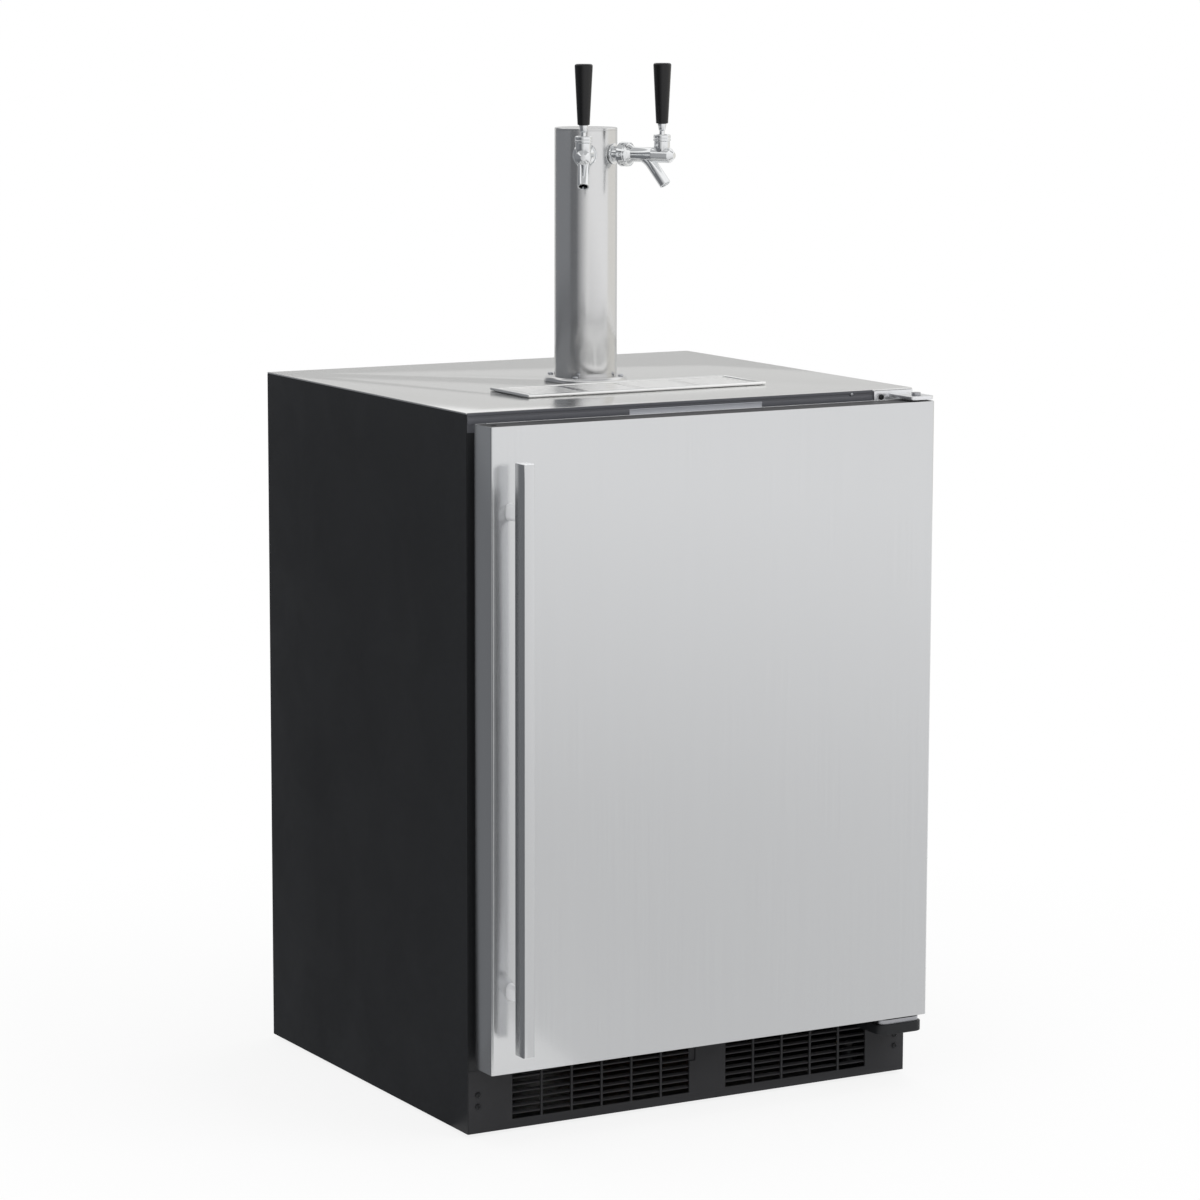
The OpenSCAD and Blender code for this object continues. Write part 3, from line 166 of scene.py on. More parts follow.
class Bench:
    """Modelling operations shared by the sub-assemblies."""

    @staticmethod
    def activate(obj: Piece) -> None:
        """Select one object alone and make it active.

        Args:
            obj: Object to select.
        """
        bpy.ops.object.select_all(action="DESELECT")
        obj.select_set(True)
        bpy.context.view_layer.objects.active = obj

    @staticmethod
    def applied(name: str) -> Piece:
        """Name the new primitive and apply its place to its mesh.

        Args:
            name: Name of the piece.

        Returns:
            The new object, at the origin.
        """
        obj = bpy.context.active_object
        obj.name = name
        bpy.ops.object.transform_apply(location=True, rotation=True, scale=True)
        return obj

    @staticmethod
    @contextmanager
    def editing(obj: Piece) -> Iterator[None]:
        """Hold one object in edit mode.

        Args:
            obj: Mesh object to edit.

        Returns:
            A context in which the mesh operators act on the object.
        """
        Bench.activate(obj)
        bpy.ops.object.mode_set(mode="EDIT")
        bpy.ops.mesh.select_mode(type="VERT")
        yield
        bpy.ops.object.mode_set(mode="OBJECT")

    @staticmethod
    def pick_faces(obj: Piece, test: Test) -> None:
        """Select faces of the mesh in edit mode.

        Args:
            obj: Mesh object in edit mode.
            test: Says yes to a face from its middle and its normal.
        """
        bpy.ops.mesh.select_mode(type="FACE")
        bpy.ops.mesh.select_all(action="DESELECT")
        mesh = bmesh.from_edit_mesh(obj.data)
        for face in mesh.faces:
            face.select_set(test(face.calc_center_median(), face.normal))
        bmesh.update_edit_mesh(obj.data)

    @staticmethod
    def pick_edges(obj: Piece, test: Test) -> None:
        """Select edges of the mesh in edit mode.

        Args:
            obj: Mesh object in edit mode.
            test: Says yes to an edge from its middle and its direction.
        """
        bpy.ops.mesh.select_mode(type="EDGE")
        bpy.ops.mesh.select_all(action="DESELECT")
        mesh = bmesh.from_edit_mesh(obj.data)
        for edge in mesh.edges:
            start, end = (vert.co for vert in edge.verts)
            edge.select_set(test((start + end) / 2, (end - start).normalized()))
        bmesh.update_edit_mesh(obj.data)

    @staticmethod
    def pushed(x: float = 0.0, y: float = 0.0, z: float = 0.0) -> None:
        """Extrude what is selected in edit mode."""
        bpy.ops.mesh.extrude_region_move(TRANSFORM_OT_translate={"value": (x, y, z)})

    @staticmethod
    def scored(**cuts: Sequence[float]) -> None:
        """Score the whole mesh in edit mode along planes.

        Args:
            cuts: Places of the planes along x, y or z.
        """
        for axis, places in cuts.items():
            along = Vector([float(axis == letter) for letter in "xyz"])
            for place in places:
                bpy.ops.mesh.select_all(action="SELECT")
                bpy.ops.mesh.bisect(plane_co=along * place, plane_no=along)

    @staticmethod
    def face_outwards() -> None:
        """Turn all faces of the mesh in edit mode outwards."""
        bpy.ops.mesh.select_all(action="SELECT")
        bpy.ops.mesh.normals_make_consistent(inside=False)

    @staticmethod
    def block(name: str, low: Place, high: Place) -> Piece:
        """Add a box between two corners.

        Args:
            name: Name of the piece.
            low: Lowest corner.
            high: Highest corner.

        Returns:
            The new object, at the origin.
        """
        low, high = Vector(low), Vector(high)
        bpy.ops.object.select_all(action="DESELECT")
        bpy.ops.mesh.primitive_cube_add(size=1, location=(low + high) / 2)
        bpy.context.active_object.scale = high - low
        return Bench.applied(name)

    @staticmethod
    def opening(low: Place, high: Place, inset: float, through: str) -> Piece:
        """Add a tool that cuts a box right through along one axis.

        Args:
            low: Lowest corner.
            high: Highest corner.
            inset: How far the cut stays inside the box on the other axes.
            through: Axis along which it passes the box.

        Returns:
            The tool.
        """
        grow = Vector([PAST if axis == through else -inset for axis in "xyz"])
        return Bench.block("opening", Vector(low) - grow, Vector(high) + grow)

    @staticmethod
    def turned(name: str, profile: Profile, place: Matrix, sides: int = 64, hollow: bool = False) -> Piece:
        """Turn a piece as on a lathe, by extruding and scaling a circle.

        Args:
            name: Name of the piece.
            profile: Radius and height of each ring, from the foot.
            place: Matrix from the lathe, whose axis is Z, to the part.
            sides: Sides of each ring.
            hollow: Join the last ring to the first, as in a tube.

        Returns:
            The new object, at the origin.
        """
        radius, height = profile[0]
        bpy.ops.object.select_all(action="DESELECT")
        bpy.ops.mesh.primitive_circle_add(vertices=sides, radius=radius, location=(0, 0, height),
                                          fill_type="NOTHING" if hollow else "NGON")
        obj = Bench.applied(name)
        with Bench.editing(obj):
            bpy.ops.mesh.select_all(action="SELECT")
            for next_radius, next_height in profile[1:]:
                Bench.pushed(z=next_height - height)
                ratio = next_radius / radius
                bpy.ops.transform.resize(value=(ratio, ratio, 1), center_override=(0, 0, next_height))
                radius, height = next_radius, next_height
            if hollow:
                bpy.ops.mesh.select_all(action="DESELECT")
                bpy.ops.mesh.select_mode(type="EDGE")
                bpy.ops.mesh.select_non_manifold()
                bpy.ops.mesh.bridge_edge_loops()
            Bench.face_outwards()
        return Bench.placed(obj, place)

    @staticmethod
    def placed(obj: Piece, place: Matrix) -> Piece:
        """Move a piece and apply its place to its mesh.

        Args:
            obj: Piece at the origin.
            place: Matrix from the piece to the part.

        Returns:
            The same object, at the origin again.
        """
        Bench.activate(obj)
        obj.matrix_world = place
        bpy.ops.object.transform_apply(location=True, rotation=True, scale=True)
        return obj

    @staticmethod
    def copied(obj: Piece, place: Matrix) -> Piece:
        """Copy a piece with a mesh of its own.

        Args:
            obj: Piece to copy.
            place: Matrix from the first piece to its copy.

        Returns:
            The copy, at the origin.
        """
        Bench.activate(obj)
        bpy.ops.object.duplicate()
        return Bench.placed(bpy.context.active_object, place)

    @staticmethod
    def merged_node(node: str, name: str) -> Piece:
        """Copy a construction node as a clean mesh to work on.

        Args:
            node: Name of the node.
            name: Name of the piece.

        Returns:
            The copy with its doubles merged and its flat faces whole.
        """
        Bench.activate(frame["nodes"][node])
        bpy.ops.object.duplicate()
        obj = bpy.context.active_object
        obj.name = name
        bpy.ops.object.parent_clear(type="CLEAR_KEEP_TRANSFORM")
        del obj["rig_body"]
        del obj["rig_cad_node"]
        bpy.ops.mesh.customdata_custom_splitnormals_clear()
        with Bench.editing(obj):
            bpy.ops.mesh.select_all(action="SELECT")
            bpy.ops.mesh.remove_doubles(threshold=0.000005)
            bpy.ops.mesh.dissolve_limited(angle_limit=math.radians(0.6))
        return obj

    @staticmethod
    def modified(obj: Piece, kind: str, **settings: object) -> None:
        """Add a modifier and apply it.

        Args:
            obj: Piece to change.
            kind: Blender's type of modifier.
            settings: Values of the modifier.
        """
        Bench.activate(obj)
        modifier = obj.modifiers.new(kind, kind)
        for key, value in settings.items():
            setattr(modifier, key, value)
        bpy.ops.object.modifier_apply(modifier=modifier.name)

    @staticmethod
    def rounded(obj: Piece, width: float, segments: int = 2, angle: float = 35.0) -> Piece:
        """Round the sharp edges of a piece and shade it smooth.

        Args:
            obj: Piece to round.
            width: Width of the rounding.
            segments: Steps across the rounding.
            angle: Sharpest angle, in degrees, that stays.

        Returns:
            The same object.
        """
        Bench.modified(obj, "BEVEL", width=width, segments=segments, limit_method="ANGLE",
                       angle_limit=math.radians(angle))
        bpy.ops.object.shade_smooth_by_angle(angle=math.radians(angle))
        return obj

    @staticmethod
    def cut(obj: Piece, *tools: Piece) -> None:
        """Cut tools out of a piece and remove them.

        Args:
            obj: Piece to cut.
            tools: Solids to take away.
        """
        for tool in tools:
            Bench.modified(obj, "BOOLEAN", object=tool, operation="DIFFERENCE", solver="EXACT")
            bpy.data.objects.remove(tool)

    @staticmethod
    def joined(name: str, *pieces: Piece) -> Piece:
        """Join several solids into one piece.

        Args:
            name: Name of the piece.
            pieces: Solids to join.

        Returns:
            The joined object.
        """
        bpy.ops.object.select_all(action="DESELECT")
        for piece in pieces:
            piece.select_set(True)
        bpy.context.view_layer.objects.active = pieces[0]
        bpy.ops.object.join()
        pieces[0].name = name
        return pieces[0]


class Shading:
    """Builds shader trees."""

    @staticmethod
    def linear(colour: Place) -> Colour:
        """Turn a colour from 0 to 255, as seen, into linear values.

        Args:
            colour: Red, green and blue.

        Returns:
            Linear red, green, blue and an alpha of 1.
        """
        parts = [c / 255 for c in colour]
        red, green, blue = (c / 12.92 if c <= 0.04045 else ((c + 0.055) / 1.055) ** 2.4 for c in parts)
        return red, green, blue, 1.0

    @staticmethod
    def scaled(colour: Colour, factor: float) -> Colour:
        """Give a linear colour times a factor, white at most."""
        red, green, blue = (min(1.0, c * factor) for c in colour[:3])
        return red, green, blue, 1.0

    @staticmethod
    def node(tree: Tree, kind: str, **settings: object) -> Node:
        """Add a node and set its properties and unlinked inputs.

        Args:
            tree: Tree that gets the node.
            kind: Type of the node, without its prefix.
            settings: Properties by name, or inputs by name with _ for spaces.

        Returns:
            The new node.
        """
        made = tree.nodes.new("ShaderNode" + kind)
        for key, value in settings.items():
            if key in made.bl_rna.properties:
                setattr(made, key, value)
            else:
                made.inputs[key.replace("_", " ")].default_value = value
        return made

    @staticmethod
    def link(tree: Tree, *rows: tuple[Node, int | str, Node, int | str]) -> None:
        """Link nodes.

        Args:
            tree: Tree of the nodes.
            rows: For each link a node, its output, the next node and that one's input.
        """
        for first, output, second, entry in rows:
            tree.links.new(first.outputs[output], second.inputs[entry])

    @staticmethod
    def coloured(tree: Tree, mask: Node, low: Colour, high: Colour, shader: Node,
                 entry: str = "Base Color") -> None:
        """Mix two colours by a mask and feed them to a shader.

        Args:
            tree: Material's tree.
            mask: Node that puts out a value from 0 to 1.
            low: Linear colour at 0.
            high: Linear colour at 1.
            shader: The shader.
            entry: Its colour input.
        """
        mix = Shading.node(tree, "Mix", data_type="RGBA")
        mix.inputs[MIX_LOW].default_value = low
        mix.inputs[MIX_HIGH].default_value = high
        Shading.link(tree, (mask, 0, mix, 0), (mix, MIX_RESULT, shader, entry))

    @staticmethod
    def roughened(tree: Tree, mask: Node, low: float, high: float, shader: Node) -> None:
        """Feed a mask to the shader's roughness.

        Args:
            tree: Material's tree.
            mask: Node that puts out a value from 0 to 1.
            low: Roughness at 0.
            high: Roughness at 1.
            shader: The shader.
        """
        spread = Shading.node(tree, "MapRange", To_Min=low, To_Max=high)
        Shading.link(tree, (mask, 0, spread, "Value"), (spread, "Result", shader, "Roughness"))

    @staticmethod
    def bumped(tree: Tree, height: Node, depth: float, strength: float, shader: Node) -> None:
        """Feed a height to the shader's normal.

        Args:
            tree: Material's tree.
            height: Node that puts out a height from 0 to 1.
            depth: Height of 1, in metres.
            strength: Share of the bump that shows.
            shader: The shader.
        """
        bump = Shading.node(tree, "Bump", Strength=strength, Distance=depth)
        Shading.link(tree, (height, 0, bump, "Height"), (bump, "Normal", shader, "Normal"))

    @staticmethod
    def material(name: str) -> tuple[bpy.types.Material, Tree, Node]:
        """Start a material.

        Args:
            name: Name of the material.

        Returns:
            The material, its tree and its shader.
        """
        made = bpy.data.materials.new(name)
        made.use_nodes = True
        return made, made.node_tree, made.node_tree.nodes["Principled BSDF"]

    @staticmethod
    def plain(shader: Node, **values: object) -> None:
        """Set inputs of a shader that are the same all over, by name with _ for spaces."""
        for key, value in values.items():
            shader.inputs[key.replace("_", " ")].default_value = value


@dataclass(frozen=True)
class Pattern:
    """Node group that puts out one noise, and that several finishes share.

    Its one input is a Size, which scales the noise, or a Stretch, which scales each axis by itself.
    The noise may be spread between two levels, or kept to edges whose pointiness lies between two levels.
    """

    name: str
    control: str
    output: str
    detail: float
    roughness: float
    distortion: float = 0.0
    spread: tuple[float, float] | None = None
    edges: tuple[float, float] | None = None

    def group(self) -> Tree:
        """Give the group's tree, built at its first use.

        Returns:
            The tree.
        """
        found = bpy.data.node_groups.get(self.name)
        if found:
            return found
        stretched = self.control == "Stretch"
        tree = bpy.data.node_groups.new(self.name, "ShaderNodeTree")
        tree.interface.new_socket(self.control, in_out="INPUT",
                                  socket_type="NodeSocketVector" if stretched else "NodeSocketFloat")
        tree.interface.new_socket(self.output, in_out="OUTPUT", socket_type="NodeSocketFloat")
        start = tree.nodes.new("NodeGroupInput")
        end = tree.nodes.new("NodeGroupOutput")
        place = Shading.node(tree, "TexCoord")
        noise = Shading.node(tree, "TexNoise", Scale=1.0, Detail=self.detail, Roughness=self.roughness,
                             Distortion=self.distortion)
        if stretched:
            stretch = Shading.node(tree, "VectorMath", operation="MULTIPLY")
            Shading.link(tree, (place, "Object", stretch, 0), (start, 0, stretch, 1),
                         (stretch, 0, noise, "Vector"))
        else:
            Shading.link(tree, (place, "Object", noise, "Vector"), (start, 0, noise, "Scale"))
        last = noise
        if self.spread:
            last = Shading.node(tree, "MapRange", From_Min=self.spread[0], From_Max=self.spread[1])
            Shading.link(tree, (noise, "Fac", last, "Value"))
        if self.edges:
            shape = Shading.node(tree, "NewGeometry")
            convex = Shading.node(tree, "MapRange", From_Min=self.edges[0], From_Max=self.edges[1])
            last = Shading.node(tree, "Math", operation="MULTIPLY", use_clamp=True)
            Shading.link(tree, (shape, "Pointiness", convex, "Value"), (convex, "Result", last, 0),
                         (noise, "Fac", last, 1))
        Shading.link(tree, (last, 0, end, 0))
        return tree

    def placed(self, tree: Tree, value: float | Place) -> Node:
        """Place the group in a material.

        Args:
            tree: Material's tree.
            value: Value of the group's input.

        Returns:
            The group node.
        """
        made = tree.nodes.new("ShaderNodeGroup")
        made.node_tree = self.group()
        made.inputs[self.control].default_value = value
        return made


BRUSHED_GRAIN = Pattern("Brushed grain", "Stretch", "Streak", 4.0, 0.62)
HANDLING_MARKS = Pattern("Handling marks", "Size", "Marks", 5.0, 0.55, 0.6, spread=(0.35, 0.7))
FINE_TEXTURE = Pattern("Fine texture", "Size", "Height", 2.0, 0.5)
RUBBED_EDGES = Pattern("Rubbed edges", "Size", "Rub", 3.0, 0.6, edges=(0.53, 0.62))


@dataclass(frozen=True)
class Finish:
    """Look of a surface, with the material slot of the record that it belongs to."""

    name: str
    slot: Slot
    colour: tuple[int, int, int]
    roughness: float

    def material(self) -> bpy.types.Material:
        """Give the finish's material, built at its first use.

        Returns:
            The material.
        """
        found = bpy.data.materials.get(self.name)
        if found:
            return found
        made, tree, shader = Shading.material(self.name)
        self.wire(tree, shader)
        return made

    def wire(self, tree: Tree, shader: Node) -> None:
        """Wire the nodes of the finish, which each kind of finish does in its own way."""
        raise NotImplementedError


@dataclass(frozen=True)
class SheetMetal(Finish):
    """Brushed sheet metal with a directional grain."""

    grain: Grain
    contrast: float = 0.03
    depth: float = 0.00001
    WIPING: ClassVar[float] = 0.1
    MARKS: ClassVar[float] = 3.5
    BUMP: ClassVar[float] = 0.35

    def wire(self, tree: Tree, shader: Node) -> None:
        """Wire the grain to the colour, the roughness and the normal.

        Args:
            tree: Material's tree.
            shader: Its shader.
        """
        Shading.plain(shader, Metallic=1.0)
        streak = BRUSHED_GRAIN.placed(tree, self.grain.value)
        marks = HANDLING_MARKS.placed(tree, self.MARKS)
        base = Shading.linear(self.colour)
        Shading.coloured(tree, streak, Shading.scaled(base, 1 - self.contrast),
                         Shading.scaled(base, 1 + self.contrast), shader)
        both = Shading.node(tree, "Math", operation="MULTIPLY_ADD")
        both.inputs[1].default_value = self.WIPING
        Shading.link(tree, (marks, 0, both, 0), (streak, 0, both, 2))
        Shading.roughened(tree, both, self.roughness * 0.75, self.roughness * 1.25, shader)
        Shading.bumped(tree, streak, self.depth, self.BUMP, shader)


@dataclass(frozen=True)
class SmoothMetal(Finish):
    """Plated, cast or drawn metal without a grain."""

    marks: float = 40.0
    DULL: ClassVar[float] = 0.93

    def wire(self, tree: Tree, shader: Node) -> None:
        """Wire the marks of handling to the colour and the roughness.

        Args:
            tree: Material's tree.
            shader: Its shader.
        """
        Shading.plain(shader, Metallic=1.0)
        marks = HANDLING_MARKS.placed(tree, self.marks)
        base = Shading.linear(self.colour)
        Shading.coloured(tree, marks, base, Shading.scaled(base, self.DULL), shader)
        Shading.roughened(tree, marks, self.roughness * 0.8, self.roughness * 1.35, shader)


@dataclass(frozen=True)
class Skin(Finish):
    """Paint, moulded plastic, rubber or foam, with a fine texture."""

    texture: float
    depth: float
    rub: float = 1.25
    coat: float = 0.0
    specular: float = 0.5
    MARKS: ClassVar[float] = 9.0
    WEAR: ClassVar[float] = 120.0
    BUMP: ClassVar[float] = 0.5

    def wire(self, tree: Tree, shader: Node) -> None:
        """Wire the worn edges to the colour, the marks to the roughness and the texture to the normal.

        Args:
            tree: Material's tree.
            shader: Its shader.
        """
        Shading.plain(shader, Coat_Weight=self.coat, Coat_Roughness=0.12, Specular_IOR_Level=self.specular)
        marks = HANDLING_MARKS.placed(tree, self.MARKS)
        edges = RUBBED_EDGES.placed(tree, self.WEAR)
        height = FINE_TEXTURE.placed(tree, self.texture)
        base = Shading.linear(self.colour)
        Shading.coloured(tree, edges, base, Shading.scaled(base, self.rub), shader)
        Shading.roughened(tree, marks, self.roughness * 0.9, min(1.0, self.roughness * 1.12), shader)
        Shading.bumped(tree, height, self.depth, self.BUMP, shader)


DOOR_STEEL = SheetMetal("door steel", Slot.STEEL, (219, 220, 221), 0.2, Grain.ALONG_Z, 0.025)
TOP_STEEL = SheetMetal("worktop steel", Slot.STEEL, (235, 235, 234), 0.16, Grain.ALONG_X)
BAR_STEEL = SheetMetal("handle steel", Slot.STEEL, (221, 222, 223), 0.18, Grain.ALONG_Z)
# Lighter copy of the handle steel for the bar's back face: painted light, so that its mirror image in the
# door looks lit.
BAR_BACK_PAINTED_LIGHT = SheetMetal("handle back painted light", Slot.STEEL, (248, 248, 249), 0.12, Grain.ALONG_Z, 0.02)
TOWER_STEEL = SheetMetal("tower steel", Slot.STEEL, (225, 225, 225), 0.2, Grain.ROUND, 0.02)
# Near-white copy of the steel for the tray and grate: painted light, lightening the pan that lies in shade
# under the grate.
TRAY_STEEL_PAINTED_LIGHT = SheetMetal("tray steel painted light", Slot.STEEL, (250, 250, 249), 0.2, Grain.ALONG_X, 0.02)
ZINC = SheetMetal("zinc plate", Slot.ZINC, (205, 207, 211), 0.3, Grain.ALONG_X, 0.08, 0.00003)
DULL_ZINC = SheetMetal("dull zinc plate", Slot.ZINC, (178, 179, 183), 0.34, Grain.ALONG_X, 0.06, 0.00003)
# Lighter copy of the zinc plate for the top hinge bracket: painted light that lifts the shade on its sides
# and underside.
ZINC_PAINTED_LIGHT = SheetMetal("zinc plate painted light", Slot.ZINC, (240, 241, 243), 0.3, Grain.ALONG_X, 0.04)
CHROME = SmoothMetal("chrome", Slot.CHROME, (226, 227, 229), 0.06)
ALUMINIUM = SmoothMetal("aluminium", Slot.ALUMINIUM, (200, 202, 204), 0.34, 25.0)
BRASS = SmoothMetal("brass", Slot.BRASS, (196, 166, 98), 0.24)
COPPER = SmoothMetal("copper", Slot.COPPER, (190, 120, 84), 0.3)
PAINT = Skin("black paint", Slot.PAINT, (30, 31, 33), 0.44, 1400.0, 0.00002, 1.5, 0.0, 0.3)
BLACK_PLASTIC = Skin("black plastic", Slot.BLACK_PLASTIC, (44, 44, 46), 0.5, 2200.0, 0.00004, 1.5, 0.0, 0.25)
HEADER_PLASTIC = Skin("header plastic", Slot.BLACK_PLASTIC, (78, 79, 84), 0.38, 2200.0, 0.00003, 1.4)
TAP_BLACK = Skin("tap black", Slot.TAP_BLACK, (17, 17, 18), 0.26, 900.0, 0.00001, 1.5, 0.2, 0.3)
# Bright non-metallic grey for the handle posts and the bar's end faces: painted highlight, so that they look
# bright whatever they reflect.
POST_PAINTED_HIGHLIGHT = Skin("handle post painted highlight", Slot.STEEL, (226, 227, 229), 0.2, 1800.0, 0.00001, 1.1, 0.3)
GREY_PANEL = Skin("grey panel", Slot.GREY_PANEL, (160, 162, 168), 0.22, 1800.0, 0.00001, 1.1, 0.3)
WHITE_PLASTIC = Skin("white liner", Slot.WHITE_PLASTIC, (232, 233, 234), 0.32, 700.0, 0.00003, 1.02)
LENS = Skin("lamp lens", Slot.LENS, (240, 243, 246), 0.2, 400.0, 0.00002, 1.0, 0.3)
FOAM = Skin("foam", Slot.FOAM, (232, 216, 168), 0.85, 500.0, 0.0004, 1.05)
RUBBER = Skin("rubber", Slot.RUBBER, (38, 38, 39), 0.62, 1600.0, 0.00005, 1.3)
GASKET = Skin("gasket rubber", Slot.RUBBER, (96, 97, 99), 0.55, 1200.0, 0.00004, 1.15)
VINYL = Skin("vinyl hose", Slot.VINYL, (214, 214, 208), 0.26, 600.0, 0.00001, 1.0, 0.3)
DIAL = Skin("dial face", Slot.WHITE_PLASTIC, (236, 236, 232), 0.4, 900.0, 0.00001, 1.0)
INK = Skin("dial ink", Slot.BLACK_PLASTIC, (28, 28, 30), 0.5, 900.0, 0.00001, 1.0)


def dress(obj: Piece, finish: Finish, *nodes: str, body: Body = Body.CABINET) -> None:
    """Give a new piece its finish and say what it rides on and stands for.

    Args:
        obj: Finished mesh.
        finish: Its finish.
        nodes: Construction nodes that it stands for.
        body: Moving body that carries it.
    """
    obj.data.materials.clear()
    obj.data.materials.append(finish.material())
    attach(obj, body.value)
    if nodes:
        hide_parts(*nodes)
    LOG.info("%s rides on %s and stands for %s", obj.name, body.value, ", ".join(nodes) or "no node")


def keep(finish: Finish, *nodes: str) -> None:
    """Give construction nodes that stay in view their finish.

    Args:
        finish: Finish of the nodes.
        nodes: Their names.
    """
    for node in nodes:
        mesh = frame["nodes"][node].data
        mesh.materials.clear()
        mesh.materials.append(finish.material())
        LOG.info("%s keeps its shape in %s", node, finish.name)


def softened(node: str, finish: Finish, width: float, segments: int = 2, body: Body = Body.CABINET) -> None:
    """Stand a copy with rounded edges in for a construction node.

    Args:
        node: Name of the node.
        finish: Finish of the piece.
        width: Width of the rounded edges.
        segments: Steps across a rounded edge.
        body: Moving body that carries it.
    """
    obj = Bench.rounded(Bench.merged_node(node, node + "_dressed"), width, segments)
    dress(obj, finish, node, body=body)


@dataclass
class Cabinet:
    """Painted shell, worktop, base and front rails."""

    edge: float = 0.0006
    side_edge: float = 0.00054
    side_cuts: int = 3
    corner: float = 0.004
    tray_lap: float = 0.0042
    passage: float = 0.0281
    liner_wall: float = 0.0025

    def build(self) -> None:
        """Build and dress the shell."""
        for side in ("left", "right"):
            self.side_panel(side)
        self.worktop()
        self.front_frame()
        softened("rear_panel", PAINT, 0.0004)
        softened("base_pan", PAINT, 0.0005)
        softened("power_gland", RUBBER, 0.001, 3)
        keep(FOAM, "cabinet_insulation")

    def side_panel(self, side: str) -> None:
        """Model one painted side, with its edges broken.

        Args:
            side: left or right.
        """
        node = f"{side}_side_panel"
        panel = Bench.block(f"{side}_side_sheet", *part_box(node))
        with Bench.editing(panel):
            bpy.ops.mesh.select_all(action="SELECT")
            bpy.ops.mesh.subdivide(number_cuts=self.side_cuts)
        dress(Bench.rounded(panel, self.side_edge, 3), PAINT, node)

    def worktop(self) -> None:
        """Model the steel worktop with its openings for the tray and the tower."""
        low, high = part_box("top_panel")
        sheet = Bench.block("worktop", low, high)
        tray_low, tray_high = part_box("drip_tray")
        opening = Bench.opening((*tray_low.xy, low.z), (*tray_high.xy, high.z), self.tray_lap, "z")
        tower = middle_of("tower_column")
        passage = Bench.turned("passage", [(self.passage, low.z - PAST), (self.passage, high.z + PAST)],
                               shift(tower.x, tower.y, 0))
        Bench.cut(sheet, opening, passage)
        dress(Bench.rounded(sheet, self.edge, 3), TOP_STEEL, "top_panel")

    def front_frame(self) -> None:
        """Model the painted frame round the door opening, with soft inner corners."""
        low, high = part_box("front_frame")
        liner_low, liner_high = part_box("inner_liner")
        rail = Bench.block("door_frame", low, high)
        mouth = Bench.opening((liner_low.x, low.y, liner_low.z), (liner_high.x, high.y, liner_high.z),
                              self.liner_wall, "y")
        with Bench.editing(mouth):
            Bench.pick_edges(mouth, lambda at, along: abs(along.y) > FACING)
            bpy.ops.mesh.bevel(offset=self.corner, segments=5)
        Bench.cut(rail, mouth)
        dress(Bench.rounded(rail, self.edge, 3), PAINT, "front_frame")


@dataclass
class Header:
    """Dark strip under the worktop, with the slim control panel in its raised band."""

    edge: float = 0.00035
    band_drop: float = 0.0065
    band_height: float = 0.007
    band_proud: float = 0.0012
    panel_half: float = 0.09
    panel_set: float = 0.002
    panel_border: float = 0.0009
    panel_sink: float = 0.0004
    hinge_gap: float = 0.001
    lip: float = 0.0008
    lip_lap: float = 0.002
    lip_seam: float = 0.00005
    lip_drop: float = 0.0003
    fine_edge: float = 0.0003

    def build(self) -> None:
        """Build and dress the header and the control panel."""
        low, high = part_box("front_header")
        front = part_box("front_frame")[0].y
        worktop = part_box("top_panel")[1].z
        top = worktop - self.band_drop
        bottom = top - self.band_height
        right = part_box("top_hinge_bracket")[0].x - self.hinge_gap
        half = self.panel_half
        strip = Bench.block("header_strip", (low.x, front, low.z), high)
        with Bench.editing(strip):
            Bench.scored(z=(top, bottom), x=(right, half, -half))
            Bench.pick_faces(strip, lambda at, out: out.y < -FACING and bottom < at.z < top
                             and at.x < right and abs(at.x) > half)
            Bench.pushed(y=-self.band_proud)
            Bench.pick_faces(strip, lambda at, out: out.y < -FACING and bottom < at.z < top
                             and abs(at.x) < half)
            Bench.pushed(y=self.panel_set)
        # Dark plastic strip over the worktop's front edge, not a part of its own: painted shade that keeps
        # the edge from catching light.
        lip = Bench.block("painted_shade_lip", (low.x, front - self.lip, high.z - self.lip_lap),
                          (right, front - self.lip_seam, worktop - self.lip_drop))
        Bench.rounded(strip, self.edge)
        Bench.rounded(lip, self.fine_edge)
        whole = Bench.joined("header_strip", strip, lip)
        dress(whole, HEADER_PLASTIC, "front_header")
        self.control_panel()

    def control_panel(self) -> None:
        """Model the glossy control strip with its sunk face."""
        panel = Bench.block("control_strip", *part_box("control_panel"))
        with Bench.editing(panel):
            Bench.pick_faces(panel, lambda at, out: out.y < -FACING)
            bpy.ops.mesh.inset(thickness=self.panel_border)
            Bench.pushed(y=self.panel_sink)
        dress(Bench.rounded(panel, self.fine_edge), GREY_PANEL, "control_panel")


